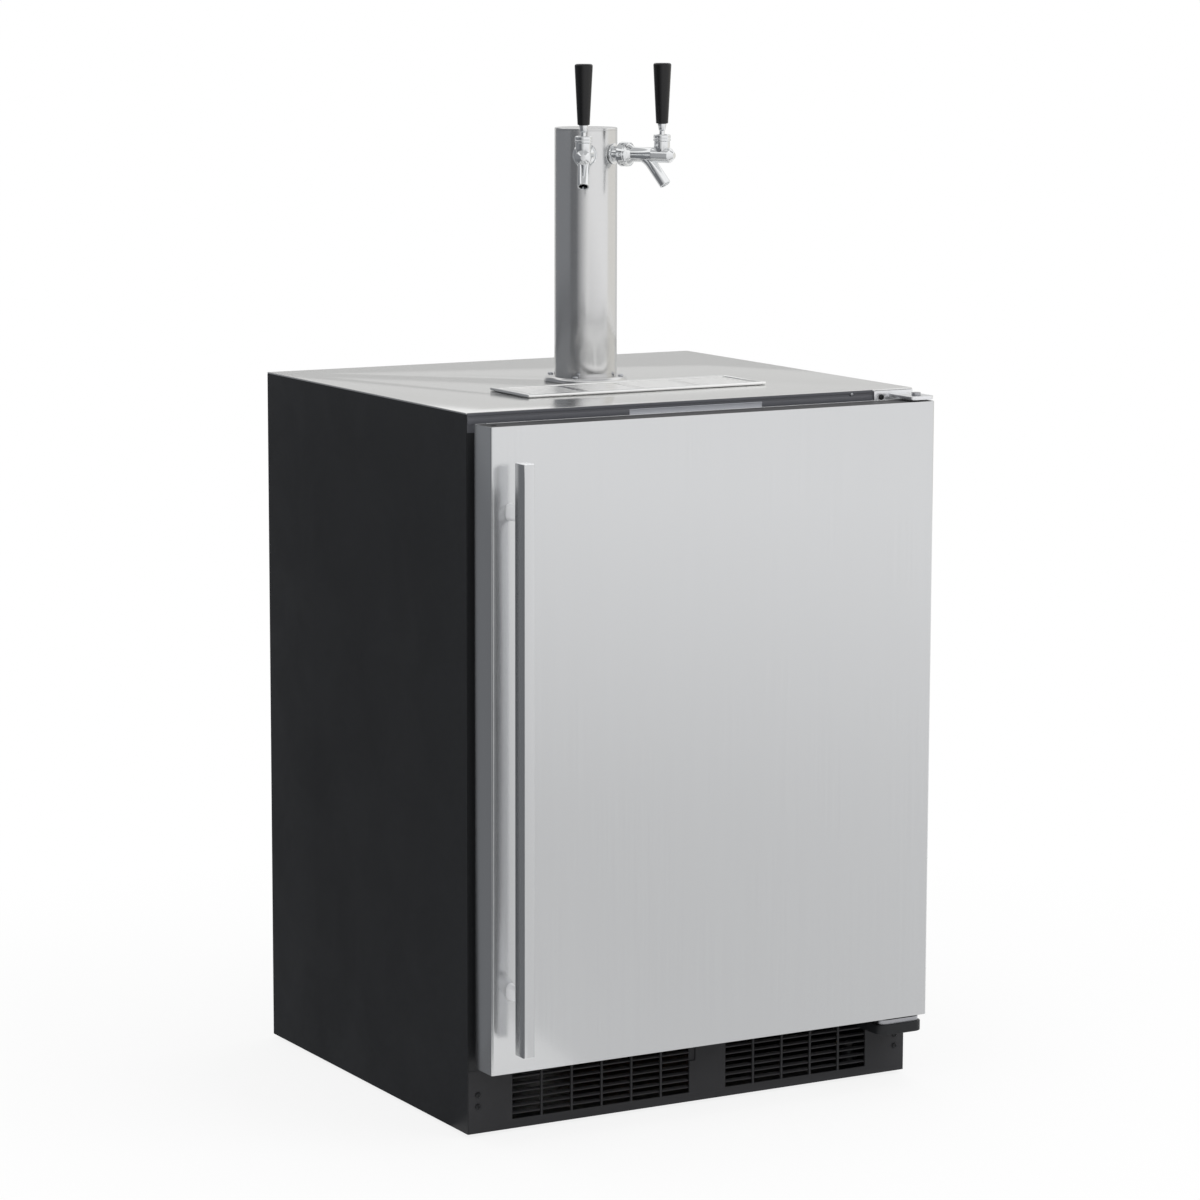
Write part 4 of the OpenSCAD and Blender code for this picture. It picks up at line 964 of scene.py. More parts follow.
@dataclass
class ToeGrille:
    """Black grille at the foot, with two groups of louvred vents."""

    groups: tuple[tuple[float, int], ...] = ((-0.244, 6), (0.047, 5))
    vent_width: float = 0.038
    vent_pitch: float = 0.0405
    vent_low: float = 0.011
    slot_pitch: float = 0.0086
    slot_height: float = 0.005
    rows: int = 7
    thickness: float = 0.003
    slat_half: float = 0.0009
    slat_depth: float = 0.0045
    slat_lap: float = 0.001
    slat_set: float = 0.0033
    slat_edge: float = 0.0004
    slat_tilt: float = 24.0
    edge: float = 0.0005
    sensor_half: float = 0.005
    sensor_low: float = 0.05
    sensor_height: float = 0.017
    sensor_depth: float = 0.0024

    def build(self) -> None:
        """Build and dress the grille."""
        low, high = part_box("toe_grille")
        back = low.y + self.thickness
        plate = Bench.block("grille_plate", low, (high.x, back, high.z))
        bottom = low.z + self.vent_low
        top = bottom + (self.rows - 1) * self.slot_pitch + self.slot_height
        lefts = [left + column * self.vent_pitch
                 for left, columns in self.groups for column in range(columns)]
        windows = [Bench.opening((x, low.y, bottom), (x + self.vent_width, back, top), 0, "y") for x in lefts]
        sensor_low = low.z + self.sensor_low
        sensor = Bench.block("sensor", (-self.sensor_half, low.y - PAST, sensor_low),
                             (self.sensor_half, low.y + self.sensor_depth, sensor_low + self.sensor_height))
        Bench.cut(plate, Bench.joined("windows", *windows), sensor)
        Bench.rounded(plate, self.edge)
        slats = [self.slat_row(left, columns, bottom + row * self.slot_pitch, low.y)
                 for left, columns in self.groups for row in range(1, self.rows)]
        dress(Bench.joined("toe_grille_dressed", plate, *slats), BLACK_PLASTIC, "toe_grille")

    def slat_row(self, left: float, columns: int, top: float, front: float) -> Piece:
        """Model one tilted slat across a vent group.

        Args:
            left: Left end of the group.
            columns: Number of vent columns.
            top: Lowest edge of the slot over the slat.
            front: Front plane of the grille.

        Returns:
            The slat.
        """
        z = top - (self.slot_pitch - self.slot_height) / 2
        right = left + (columns - 1) * self.vent_pitch + self.vent_width
        half = self.slat_depth / 2
        slat = Bench.block("slat", (left - self.slat_lap, -half, -self.slat_half),
                           (right + self.slat_lap, half, self.slat_half))
        Bench.rounded(slat, self.slat_edge)
        return Bench.placed(slat, shift(0, front + self.slat_set, z) @ turn(self.slat_tilt, "X"))


@dataclass
class Hinges:
    """Top bracket in zinc lightened by painted light, black bottom bracket, and the pins."""

    edge: float = 0.0006
    pin_edge: float = 0.00048

    def build(self) -> None:
        """Build and dress the brackets and pins."""
        softened("top_hinge_bracket", ZINC_PAINTED_LIGHT, self.edge, 3)
        softened("bottom_hinge_bracket", PAINT, self.edge, 3)
        softened("hinge_pins", DULL_ZINC, self.pin_edge, 3)


@dataclass
class Door:
    """Steel skin round a foam core, with caps, liner, gasket and bushes."""

    sheet: float = 0.001
    sheet_edge: float = 0.00025
    fold: float = 0.003
    returns: float = 0.014
    dike_inset: float = 0.0165
    dike_border: float = 0.045
    dike_sink: float = 0.006
    liner_edge: float = 0.003
    gasket_width: float = 0.017
    groove_border: float = 0.005
    groove_depth: float = 0.0025
    gasket_edge: float = 0.0012

    def build(self) -> None:
        """Build and dress the door."""
        self.skin()
        self.liner()
        self.gasket()
        softened("door_end_caps", BLACK_PLASTIC, 0.0008, body=Body.DOOR)
        softened("door_bushes", BLACK_PLASTIC, 0.0005, body=Body.DOOR)
        keep(FOAM, "door_insulation")

    def skin(self) -> None:
        """Fold the steel skin: front, two sides and two rear returns."""
        low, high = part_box("door_skin")
        skin = Bench.block("door_skin_folded", low, high)
        with Bench.editing(skin):
            Bench.pick_faces(skin, lambda at, out: abs(out.z) > FACING or out.y > FACING)
            bpy.ops.mesh.delete(type="FACE")
            Bench.pick_edges(skin, lambda at, along: abs(along.z) > FACING and at.y < low.y + NEAR)
            bpy.ops.mesh.bevel(offset=self.fold, segments=6)
            for side in (-1, 1):
                Bench.pick_edges(skin, lambda at, along: abs(along.z) > FACING and at.y > high.y - NEAR
                                 and at.x * side > 0)
                Bench.pushed(x=-side * self.returns)
            Bench.face_outwards()
        front = min(skin.data.polygons, key=lambda face: face.center.y)
        inward = -1.0 if front.normal.y < 0 else 1.0
        Bench.modified(skin, "SOLIDIFY", thickness=self.sheet, offset=inward)
        dress(Bench.rounded(skin, self.sheet_edge), DOOR_STEEL, "door_skin", body=Body.DOOR)

    def liner(self) -> None:
        """Model the moulded inner door with its raised border."""
        low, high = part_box("door_liner")
        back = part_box("door_skin")[1].y
        plate = Bench.block("door_liner_plate", low, (high.x, back, high.z))
        liner_low, liner_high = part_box("inner_liner")
        left, right = liner_low.x + self.dike_inset, liner_high.x - self.dike_inset
        bottom, top = liner_low.z + self.dike_inset, liner_high.z - self.dike_inset
        with Bench.editing(plate):
            Bench.scored(x=(left, right), z=(bottom, top))
            Bench.pick_faces(plate, lambda at, out: out.y > FACING and left < at.x < right
                             and bottom < at.z < top)
            Bench.pushed(y=high.y - back)
            bpy.ops.mesh.inset(thickness=self.dike_border)
            Bench.pushed(y=-self.dike_sink)
        dress(Bench.rounded(plate, self.liner_edge, 4), WHITE_PLASTIC, "door_liner", body=Body.DOOR)

    def gasket(self) -> None:
        """Model the magnetic gasket as a soft ring with a groove along its face."""
        low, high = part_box("door_gasket")
        ring = Bench.block("gasket_ring", low, high)
        Bench.cut(ring, Bench.opening(low, high, self.gasket_width, "y"))
        with Bench.editing(ring):
            Bench.pick_faces(ring, lambda at, out: out.y > FACING)
            bpy.ops.mesh.inset(thickness=self.groove_border)
            Bench.pushed(y=-self.groove_depth)
        dress(Bench.rounded(ring, self.gasket_edge, 3), GASKET, "door_gasket", body=Body.DOOR)


@dataclass
class Screws:
    """Cross-recess screws of the grille, the header, the top hinge and the tower's foot."""

    head: float = 0.0035
    small_head: float = 0.0019
    rise: float = 0.0022
    recess: float = 0.0009
    edge: float = 0.00012
    grille_across: float = 0.2898
    grille_rows: tuple[float, float] = (0.036, 0.05)
    header_at: tuple[float, float] = (0.216, 0.84475)
    hinge_at: tuple[float, float] = (0.257, 0.8395)
    hinge_leg: float = 0.0025
    flange_ring: float = 0.04455

    def build(self) -> None:
        """Build and dress the screws."""
        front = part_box("front_frame")[0].y
        facing = turn(90, "X")
        dark = [shift(side * self.grille_across, front, z) @ facing
                for side in (-1, 1) for z in self.grille_rows]
        dark.append(shift(self.hinge_at[0], front - self.hinge_leg, self.hinge_at[1]) @ facing)
        flange = middle_of("tower_flange")
        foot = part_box("tower_column")[0].z
        bright = [shift(flange.x, flange.y, foot) @ turn(45 + 90 * step, "Z") @ shift(self.flange_ring, 0, 0)
                  for step in range(4)]
        small = self.screw(self.small_head, shift(self.header_at[0], front, self.header_at[1]) @ facing)
        head = self.screw(self.head, Matrix())
        dark_heads = [Bench.copied(head, place) for place in dark]
        bright_heads = [Bench.copied(head, place) for place in bright]
        bpy.data.objects.remove(head)
        dress(Bench.joined("front_screws", *dark_heads), PAINT, "cabinet_screws")
        dress(Bench.joined("bright_screws", small, *bright_heads), ZINC)

    def screw(self, radius: float, place: Matrix) -> Piece:
        """Model one screw head with its cross recess.

        Args:
            radius: Radius of the head.
            place: Matrix from the screw, whose axis is Z, to the part.

        Returns:
            The screw head.
        """
        rise = self.rise
        head = Bench.turned("screw", [
            (radius * 0.9, 0), (radius, 0.0002), (radius, rise * 0.35), (radius * 0.92, rise * 0.62),
            (radius * 0.7, rise * 0.88), (radius * 0.4, rise),
        ], Matrix(), 40)
        half = radius * 0.13
        arm = radius * 0.55
        slots = [Bench.block("slot", (-a, -b, rise - self.recess), (a, b, rise + PAST))
                 for a, b in ((arm, half), (half, arm))]
        Bench.cut(head, *slots)
        return Bench.placed(Bench.rounded(head, self.edge), place)


@dataclass
class Handle:
    """Slim steel bar on two posts."""

    post_height: float = 0.019
    post_span: float = 0.557
    post_rise: float = 0.005
    post_round: float = 0.006
    post_inset: float = 0.0005
    post_edge: float = 0.0008
    bar_depth: float = 0.022
    edge: float = 0.0013
    foot: float = 0.0025
    flare: tuple[float, float, float] = (1.05, 1, 1.12)
    end_slope: float = 0.5

    def build(self) -> None:
        """Build and dress the handle."""
        low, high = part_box("door_handle")
        back = low.y + self.bar_depth
        bar = Bench.block("handle_bar", low, (high.x, back, high.z))
        Bench.rounded(bar, self.edge, 4)
        middle = (low.z + high.z) / 2 + self.post_rise
        posts = [self.post(low, high, middle + side * self.post_span / 2) for side in (-1, 1)]
        whole = Bench.joined("door_handle_dressed", bar, *posts)
        dress(whole, BAR_STEEL, "door_handle", body=Body.DOOR)
        margin = self.edge / 2
        # The bar's back face gets the lighter steel, painted light in place of the light that would reach it.
        self.face_with(whole, BAR_BACK_PAINTED_LIGHT, lambda at, out: at.y > back - margin)
        # The posts and the bar's up- and down-facing end faces get the painted highlight grey.
        self.face_with(whole, POST_PAINTED_HIGHLIGHT, lambda at, out: at.y > back + margin or abs(out.z) > self.end_slope)

    @staticmethod
    def face_with(whole: Piece, finish: Finish, test: Test) -> None:
        """Give some faces of the handle a second finish.

        Args:
            whole: The handle.
            finish: Finish of the faces.
            test: Says yes to a face from its middle and its normal.
        """
        whole.data.materials.append(finish.material())
        with Bench.editing(whole):
            Bench.pick_faces(whole, test)
            whole.active_material_index = len(whole.data.materials) - 1
            bpy.ops.object.material_slot_assign()

    def post(self, low: Vector, high: Vector, z: float) -> Piece:
        """Model one round-ended post, with a slight flare where it meets the door.

        Args:
            low: Lowest corner of the handle.
            high: Highest corner of the handle.
            z: Height of the post's middle.

        Returns:
            The post.
        """
        half = self.post_height / 2
        post = Bench.block("post", (low.x + self.post_inset, low.y + self.bar_depth - self.edge, z - half),
                           (high.x - self.post_inset, high.y, z + half))
        with Bench.editing(post):
            Bench.pick_edges(post, lambda at, along: abs(along.y) > FACING)
            bpy.ops.mesh.bevel(offset=self.post_round, segments=6)
            Bench.scored(y=(high.y - self.foot,))
            Bench.pick_faces(post, lambda at, out: out.y > FACING)
            bpy.ops.transform.resize(value=self.flare, center_override=((low.x + high.x) / 2, high.y, z))
        return Bench.rounded(post, self.post_edge, 3)


@dataclass
class Tower:
    """Round steel column on its flange, closed by a flat cap."""

    radius: float = 0.0381
    wall: float = 0.0016
    flange_radius: float = 0.051
    flange: float = 0.006
    cap: float = 0.003
    passage: float = 0.0281
    spigot: float = 0.012
    spigot_wall: float = 0.003
    spigot_gap: float = 0.0001
    cap_spigot: float = 0.006
    edge: float = 0.0008
    fine_edge: float = 0.0003
    flange_edge: float = 0.0005
    sides: int = 128

    def build(self) -> None:
        """Build and dress the tower."""
        low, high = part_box("tower_column")
        middle = middle_of("tower_column")
        place = shift(middle.x, middle.y, low.z)
        height = high.z - low.z
        bore = self.radius - self.wall
        outside = self.radius
        column = Bench.turned("tower_tube", [(bore, 0), (outside, 0), (outside, height), (bore, height)],
                              place, self.sides, True)
        dress(Bench.rounded(column, self.fine_edge), TOWER_STEEL, "tower_column")
        inside = bore - self.spigot_gap
        spigot = inside - self.spigot_wall
        brim = self.flange_radius
        foot = Bench.turned("tower_foot", [
            (self.passage, -self.flange), (brim, -self.flange), (brim, -0.0042), (brim - 0.0008, -0.0026),
            (brim - 0.002, -0.0012), (brim - 0.0035, -0.0004), (brim - 0.006, 0), (outside + 0.004, 0),
            (inside, 0), (inside, self.spigot), (spigot, self.spigot), (spigot, 0), (self.passage, 0),
        ], place, self.sides, True)
        dress(Bench.rounded(foot, self.flange_edge), TOWER_STEEL, "tower_flange")
        edge = self.edge
        top = height + self.cap
        lid = Bench.turned("tower_lid", [
            (inside, height - self.cap_spigot), (inside, height), (outside, height), (outside, top - edge),
            (outside - edge * 0.3, top - edge * 0.3), (outside - edge, top), (outside - 0.012, top),
        ], place, self.sides)
        dress(Bench.rounded(lid, self.fine_edge), TOWER_STEEL, "tower_cap")


@dataclass
class Faucet:
    """Chrome faucet on one side, with its shank, nuts, bonnet, lever and tap handle."""

    name: str
    side: int
    angle: float = 30.8
    lever: float = 0.1053
    pivot: float = 0.019
    shank: float = 0.0095
    shank_start: float = 0.026
    collar: float = 0.0125
    tower: float = 0.0381
    seat: float = 0.0003
    nut: float = 0.0148
    nut_start: float = 0.0488
    nut_length: float = 0.0125
    nut_wall: float = 0.002
    locknut: float = 0.014
    locknut_span: tuple[float, float] = (0.0285, 0.033)
    stub: float = 0.0134
    barrel: float = 0.009
    bonnet: float = 0.0105
    boss: float = 0.0096
    boss_top: float = 0.017
    bonnet_height: float = 0.008
    ball: float = 0.0056
    ball_gap: float = 0.0003
    stem: float = 0.0032
    stud: float = 0.0045
    stud_height: float = 0.012
    handle_rise: float = 0.019
    handle_length: float = 0.072
    handle_foot: float = 0.00735
    handle_top: float = 0.01085
    crown: float = 0.0025
    spout: float = 0.007
    spout_wall: float = 0.0018
    spout_bend: float = 0.03
    spout_forward: float = 0.005
    spout_drop: float = 0.035
    spout_slope: float = 52.0

    def axis(self) -> Matrix:
        """Give the matrix whose Z runs out along the faucet and whose Y is up.

        Returns:
            Matrix from the faucet to the part.
        """
        middle = middle_of("tower_column")
        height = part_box("left_lever")[1].z - self.stud_height - self.handle_rise - self.pivot
        return shift(middle.x, middle.y, height) @ turn(self.side * self.angle, "Z") @ turn(90, "X")

    def upright(self) -> Matrix:
        """Give the matrix of what stands, with Z up, over the lever's pivot line."""
        return Matrix.Translation(self.axis() @ Vector((0, 0, self.lever)))

    def shank_piece(self) -> Piece:
        """Model the shank with its collar against the column.

        Returns:
            The shank.
        """
        face = self.tower + self.seat
        end = self.nut_start + 0.0021
        head = self.nut - 0.0017
        shank = Bench.turned("shank", [
            (self.shank, self.shank_start), (self.shank, face), (self.collar, face),
            (self.collar, face + 0.0014), (self.collar - 0.0004, face + 0.0021),
            (self.collar - 0.0012, face + 0.0024),
            (self.shank, face + 0.0024), (self.shank, end), (head, end), (head, end + 0.0025),
        ], self.axis())
        return Bench.rounded(shank, 0.0002)

    def coupling_nut(self) -> Piece:
        """Model the round coupling nut with its spanner holes.

        Returns:
            The nut.
        """
        start, end = self.nut_start, self.nut_start + self.nut_length
        nut, groove = self.nut, self.nut - 0.0006
        bore, mouth = self.shank + 0.0002, self.stub + 0.0001
        whole = Bench.turned("nut", [
            (bore, start), (nut - 0.001, start), (nut, start + 0.001), (nut, end - 0.0035),
            (groove, end - 0.003), (groove, end - 0.0022), (nut, end - 0.0016), (nut, end - 0.001),
            (nut - 0.001, end), (mouth, end), (mouth, start + self.nut_wall), (bore, start + self.nut_wall),
        ], Matrix(), 96, True)
        middle = shift(0, 0, start + self.nut_length / 2)
        spokes = [middle @ turn(60 * step, "Z") @ turn(90, "Y") for step in range(6)]
        holes = [Bench.turned("hole", [(0.002, 0.012), (0.002, 0.02)], spoke, 24) for spoke in spokes]
        Bench.cut(whole, Bench.joined("holes", *holes))
        return Bench.placed(Bench.rounded(whole, 0.00025), self.axis())

    def locknut_piece(self) -> Piece:
        """Model the hexagon locknut inside the column.

        Returns:
            The locknut.
        """
        start, end = self.locknut_span
        nut = Bench.turned("locknut", [
            (self.shank, start), (self.locknut, start), (self.locknut, end), (self.shank, end),
        ], self.axis(), 6, True)
        return Bench.rounded(nut, 0.0005)

    def body_piece(self) -> Piece:
        """Model the faucet body: barrel, nose, lever boss and bent spout.

        Returns:
            The body.
        """
        end = self.nut_start + self.nut_length
        stub, barrel, lever = self.stub, self.barrel, self.lever
        bead = barrel + 0.0006
        tube = Bench.turned("barrel", [
            (stub, self.nut_start + 0.005), (stub, end - 0.0005), (stub - 0.001, end),
            (stub - 0.0017, end + 0.0012), (0.0104, end + 0.0034), (barrel, end + 0.005),
            (barrel, lever - 0.013), (bead, lever - 0.012), (bead, lever - 0.0105), (barrel, lever - 0.0095),
            (barrel, lever + 0.0105), (barrel - 0.0008, lever + 0.0118), (0.0075, lever + 0.0122),
            (0.0042, lever + 0.0164), (0.0034, lever + 0.017),
        ], self.axis())
        boss = Bench.turned("boss", [
            (0.0075, 0.002), (0.0088, 0.0075), (self.boss, 0.0095), (self.boss, self.boss_top - 0.0006),
            (self.boss - 0.0006, self.boss_top),
        ], self.upright())
        whole = Bench.joined(f"{self.name}_faucet_dressed", Bench.rounded(tube, 0.0003),
                             Bench.rounded(boss, 0.0003), self.spout_piece())
        bpy.ops.object.shade_smooth_by_angle(angle=math.radians(40))
        return whole

    def spout_piece(self) -> Piece:
        """Extrude the sloping spout from its outlet, then bend it into the barrel by a spin.

        Returns:
            The hollow spout.
        """
        slope = math.radians(self.spout_slope)
        along = Vector((0, -math.sin(slope), math.cos(slope)))
        run = self.spout_drop / math.sin(slope)
        bend = self.spout_bend * math.tan(slope / 2)
        tip = Vector((0, -self.spout_drop, self.lever + self.spout_forward))
        centre = Vector((0, -self.spout_bend, tip.z - run * along.z - bend))
        bpy.ops.object.select_all(action="DESELECT")
        bpy.ops.mesh.primitive_circle_add(vertices=40, radius=self.spout, fill_type="NOTHING",
                                          location=tip, rotation=(slope, 0, 0))
        spout = Bench.applied("spout")
        with Bench.editing(spout):
            bpy.ops.mesh.select_all(action="SELECT")
            Bench.pushed(*(along * (bend - run)))
            bpy.ops.mesh.spin(steps=14, angle=slope, center=centre, axis=(1, 0, 0))
            Bench.face_outwards()
        Bench.modified(spout, "SOLIDIFY", thickness=self.spout_wall, offset=-1.0)
        return Bench.placed(Bench.rounded(spout, 0.0004, 3, 50), self.axis())

    def bonnet_piece(self) -> Piece:
        """Model the ring nut that holds the lever's ball, with a grip groove.

        Returns:
            The bonnet.
        """
        low, high = self.boss_top, self.boss_top + self.bonnet_height
        bonnet, bore = self.bonnet, self.ball + self.ball_gap
        ring = Bench.turned("bonnet", [
            (bore, low), (bonnet - 0.0006, low), (bonnet, low + 0.0006), (bonnet, low + 0.0026),
            (bonnet - 0.0006, low + 0.0031), (bonnet - 0.0006, low + 0.0037), (bonnet, low + 0.0042),
            (bonnet - 0.0003, high - 0.001), (bonnet - 0.0012, high), (bonnet - 0.0022, high),
            (bore, self.pivot + 0.001),
        ], self.upright(), 72, True)
        return Bench.rounded(ring, 0.00025)

    def lever_piece(self) -> Piece:
        """Model the lever: arm, ball, stem, ferrule and stud.

        Returns:
            The lever.
        """
        pivot, top = self.pivot, self.pivot + self.handle_rise
        lever = Bench.turned(f"{self.name}_lever_dressed", [
            (0.0012, 0.0005), (0.0022, 0.0014), (0.0022, 0.0032), (0.0018, 0.0042), (0.0018, pivot - 0.0054),
            *arc(0, pivot, self.ball, self.ball, range(-70, 56, 14)), (self.stem, pivot + 0.0048),
            (self.stem, top - 0.0085), (0.004, top - 0.0078), (0.0046, top - 0.004), (0.0054, top - 0.0006),
            (0.0052, top), (self.stud, top), (self.stud, top + self.stud_height - 0.0005),
            (self.stud - 0.0005, top + self.stud_height),
        ], self.upright(), 48)
        return Bench.rounded(lever, 0.0002, 2, 45)

    def tap_handle(self) -> Piece:
        """Model the tapered black tap handle with its soft crown.

        Returns:
            The tap handle.
        """
        low = self.pivot + self.handle_rise
        top = low + self.handle_length
        foot, crown = self.handle_foot, self.crown
        handle = Bench.turned(f"{self.name}_tap_handle_dressed", [
            (0.0048, low), (foot - 0.0008, low), (foot - 0.0002, low + 0.0003), (foot, low + 0.0009),
            (foot + 0.0017, low + 0.034),
            *arc(self.handle_top - crown, top - crown, crown, crown, range(0, 91, 15)), (0.004, top),
        ], self.upright())
        return Bench.rounded(handle, 0.0002, 2, 50)


@dataclass
class Faucets:
    """The two faucets of the tower, with their valve shafts and beer lines."""

    left: Faucet
    right: Faucet

    def build(self) -> None:
        """Build and dress both faucets."""
        pair = (self.left, self.right)
        shanks = [faucet.shank_piece() for faucet in pair]
        nuts = [piece for faucet in pair for piece in (faucet.coupling_nut(), faucet.locknut_piece())]
        bonnets = [faucet.bonnet_piece() for faucet in pair]
        for node, pieces in (("faucet_shanks", shanks), ("shank_nuts", nuts), ("lever_bonnets", bonnets)):
            dress(Bench.joined(node + "_dressed", *pieces), CHROME, node)
        for faucet in pair:
            body = Body(f"{faucet.name}_tap")
            dress(faucet.body_piece(), CHROME, f"{faucet.name}_faucet_body")
            dress(faucet.lever_piece(), CHROME, f"{faucet.name}_lever", body=body)
            dress(faucet.tap_handle(), TAP_BLACK, f"{faucet.name}_tap_handle", body=body)
        keep(CHROME, "left_valve_shaft", "right_valve_shaft")
        keep(VINYL, "beer_lines")


@dataclass
class DripTray:
    """Steel tray let into the worktop, with a slotted grate."""

    rim: float = 0.005
    rim_height: float = 0.0037
    rim_edge: float = 0.0017
    pan_edge: float = 0.0005
    sheet: float = 0.0012
    pitch: float = 0.011
    slot: float = 0.004
    slot_round: float = 0.0018
    grate_margin: float = 0.008
    web: float = 0.008
    columns: int = 4
    plate_edge: float = 0.0003
    fold_edge: float = 0.0004

    def build(self) -> None:
        """Build and dress the tray and the grate."""
        low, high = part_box("drip_tray")
        rim_low = Vector((*low.xy, high.z - self.rim_height))
        rim = Bench.block("tray_rim", rim_low, high)
        Bench.cut(rim, Bench.opening(rim_low, high, self.rim + self.sheet, "z"))
        Bench.rounded(rim, self.rim_edge, 5)
        pan_top = high.z - self.sheet
        pan = Bench.block("tray_pan", (low.x + self.rim, low.y + self.rim, low.z),
                          (high.x - self.rim, high.y - self.rim, pan_top))
        with Bench.editing(pan):
            Bench.pick_faces(pan, lambda at, out: out.z > FACING)
            bpy.ops.mesh.inset(thickness=self.sheet)
            Bench.pushed(z=low.z + self.sheet - pan_top)
        Bench.rounded(pan, self.pan_edge, 3)
        dress(Bench.joined("drip_tray_dressed", rim, pan), TRAY_STEEL_PAINTED_LIGHT, "drip_tray", body=Body.TRAY)
        self.grate()

    def grate(self) -> None:
        """Model the grate as a plate with rows of round-ended slots and two folded feet."""
        low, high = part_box("drip_grate")
        plate = Bench.block("grate_plate", (low.x, low.y, high.z - self.sheet), high)
        rows = int((high.y - low.y - 2 * self.grate_margin + self.pitch - self.slot) / self.pitch)
        first = (low.y + high.y - (rows - 1) * self.pitch - self.slot) / 2
        length = (high.x - low.x - 2 * self.grate_margin - (self.columns - 1) * self.web) / self.columns
        slot = Bench.block("slot", (0, 0, -PAST / 2), (length, self.slot, PAST / 2))
        with Bench.editing(slot):
            Bench.pick_edges(slot, lambda at, along: abs(along.z) > FACING)
            bpy.ops.mesh.bevel(offset=self.slot_round, segments=4)
        lefts = [low.x + self.grate_margin + column * (length + self.web) for column in range(self.columns)]
        slots = [Bench.copied(slot, shift(left, first + row * self.pitch, high.z))
                 for row in range(rows) for left in lefts]
        bpy.data.objects.remove(slot)
        Bench.cut(plate, Bench.joined("slots", *slots))
        Bench.rounded(plate, self.plate_edge)
        feet = [Bench.block("fold", (x, low.y, low.z), (x + self.sheet, high.y, high.z - self.fold_edge))
                for x in (low.x, high.x - self.sheet)]
        for foot in feet:
            Bench.rounded(foot, self.fold_edge)
        dress(Bench.joined("drip_grate_dressed", plate, *feet), TRAY_STEEL_PAINTED_LIGHT, "drip_grate", body=Body.GRATE)


@dataclass
class Interior:
    """Moulded liner with its lamp, cooling cover and line unions."""

    wall: float = 0.0025
    sheet: float = 0.002
    corner: float = 0.012
    step_depth: float = 0.153
    step_height: float = 0.156
    smooth: float = 35.0
    lens_corner: float = 0.006
    lens_border: float = 0.003
    lens_sink: float = 0.0012
    lens_edge: float = 0.001

    def build(self) -> None:
        """Build and dress the inside of the cabinet."""
        self.liner()
        self.lamp()
        softened("evaporator_cover", WHITE_PLASTIC, 0.0006)
        softened("line_unions", CHROME, 0.0004)
        keep(ALUMINIUM, "evaporator")
        keep(GREY_PANEL, "cooling_fan", "condenser_fan")
        keep(BLACK_PLASTIC, "fan_motors", "fan_shroud")
        keep(COPPER, "condenser")
        keep(PAINT, "compressor")

    def liner(self) -> None:
        """Model the liner as a tub with soft corners and a step over the machine bay."""
        low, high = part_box("inner_liner")
        wall = self.wall
        inner_low = Vector((low.x + wall, low.y, low.z + wall))
        inner_high = Vector((high.x - wall, high.y - wall, high.z - wall))
        tub = Bench.block("liner_tub", inner_low, inner_high)
        Bench.cut(tub, Bench.block("step", (low.x - PAST, inner_high.y - self.step_depth, low.z - PAST),
                                   (high.x + PAST, high.y + PAST, inner_low.z + self.step_height)))
        with Bench.editing(tub):
            Bench.pick_faces(tub, lambda at, out: out.y < -FACING and at.y < low.y + NEAR)
            bpy.ops.mesh.delete(type="FACE")
            Bench.pick_edges(tub, lambda at, along: at.y > low.y + NEAR)
            bpy.ops.mesh.bevel(offset=self.corner, segments=5)
            Bench.face_outwards()
        Bench.modified(tub, "SOLIDIFY", thickness=self.sheet, offset=1.0)
        bpy.ops.object.shade_smooth_by_angle(angle=math.radians(self.smooth))
        dress(tub, WHITE_PLASTIC, "inner_liner")

    def lamp(self) -> None:
        """Model the lamp's lens, with soft edges and a sunk face."""
        lens = Bench.block("lamp_lens", *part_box("interior_lamp"))
        with Bench.editing(lens):
            Bench.pick_edges(lens, lambda at, along: abs(along.z) > FACING)
            bpy.ops.mesh.bevel(offset=self.lens_corner, segments=5)
            Bench.pick_faces(lens, lambda at, out: out.z < -FACING)
            bpy.ops.mesh.inset(thickness=self.lens_border)
            Bench.pushed(z=self.lens_sink)
        dress(Bench.rounded(lens, self.lens_edge, 3), LENS, "interior_lamp")


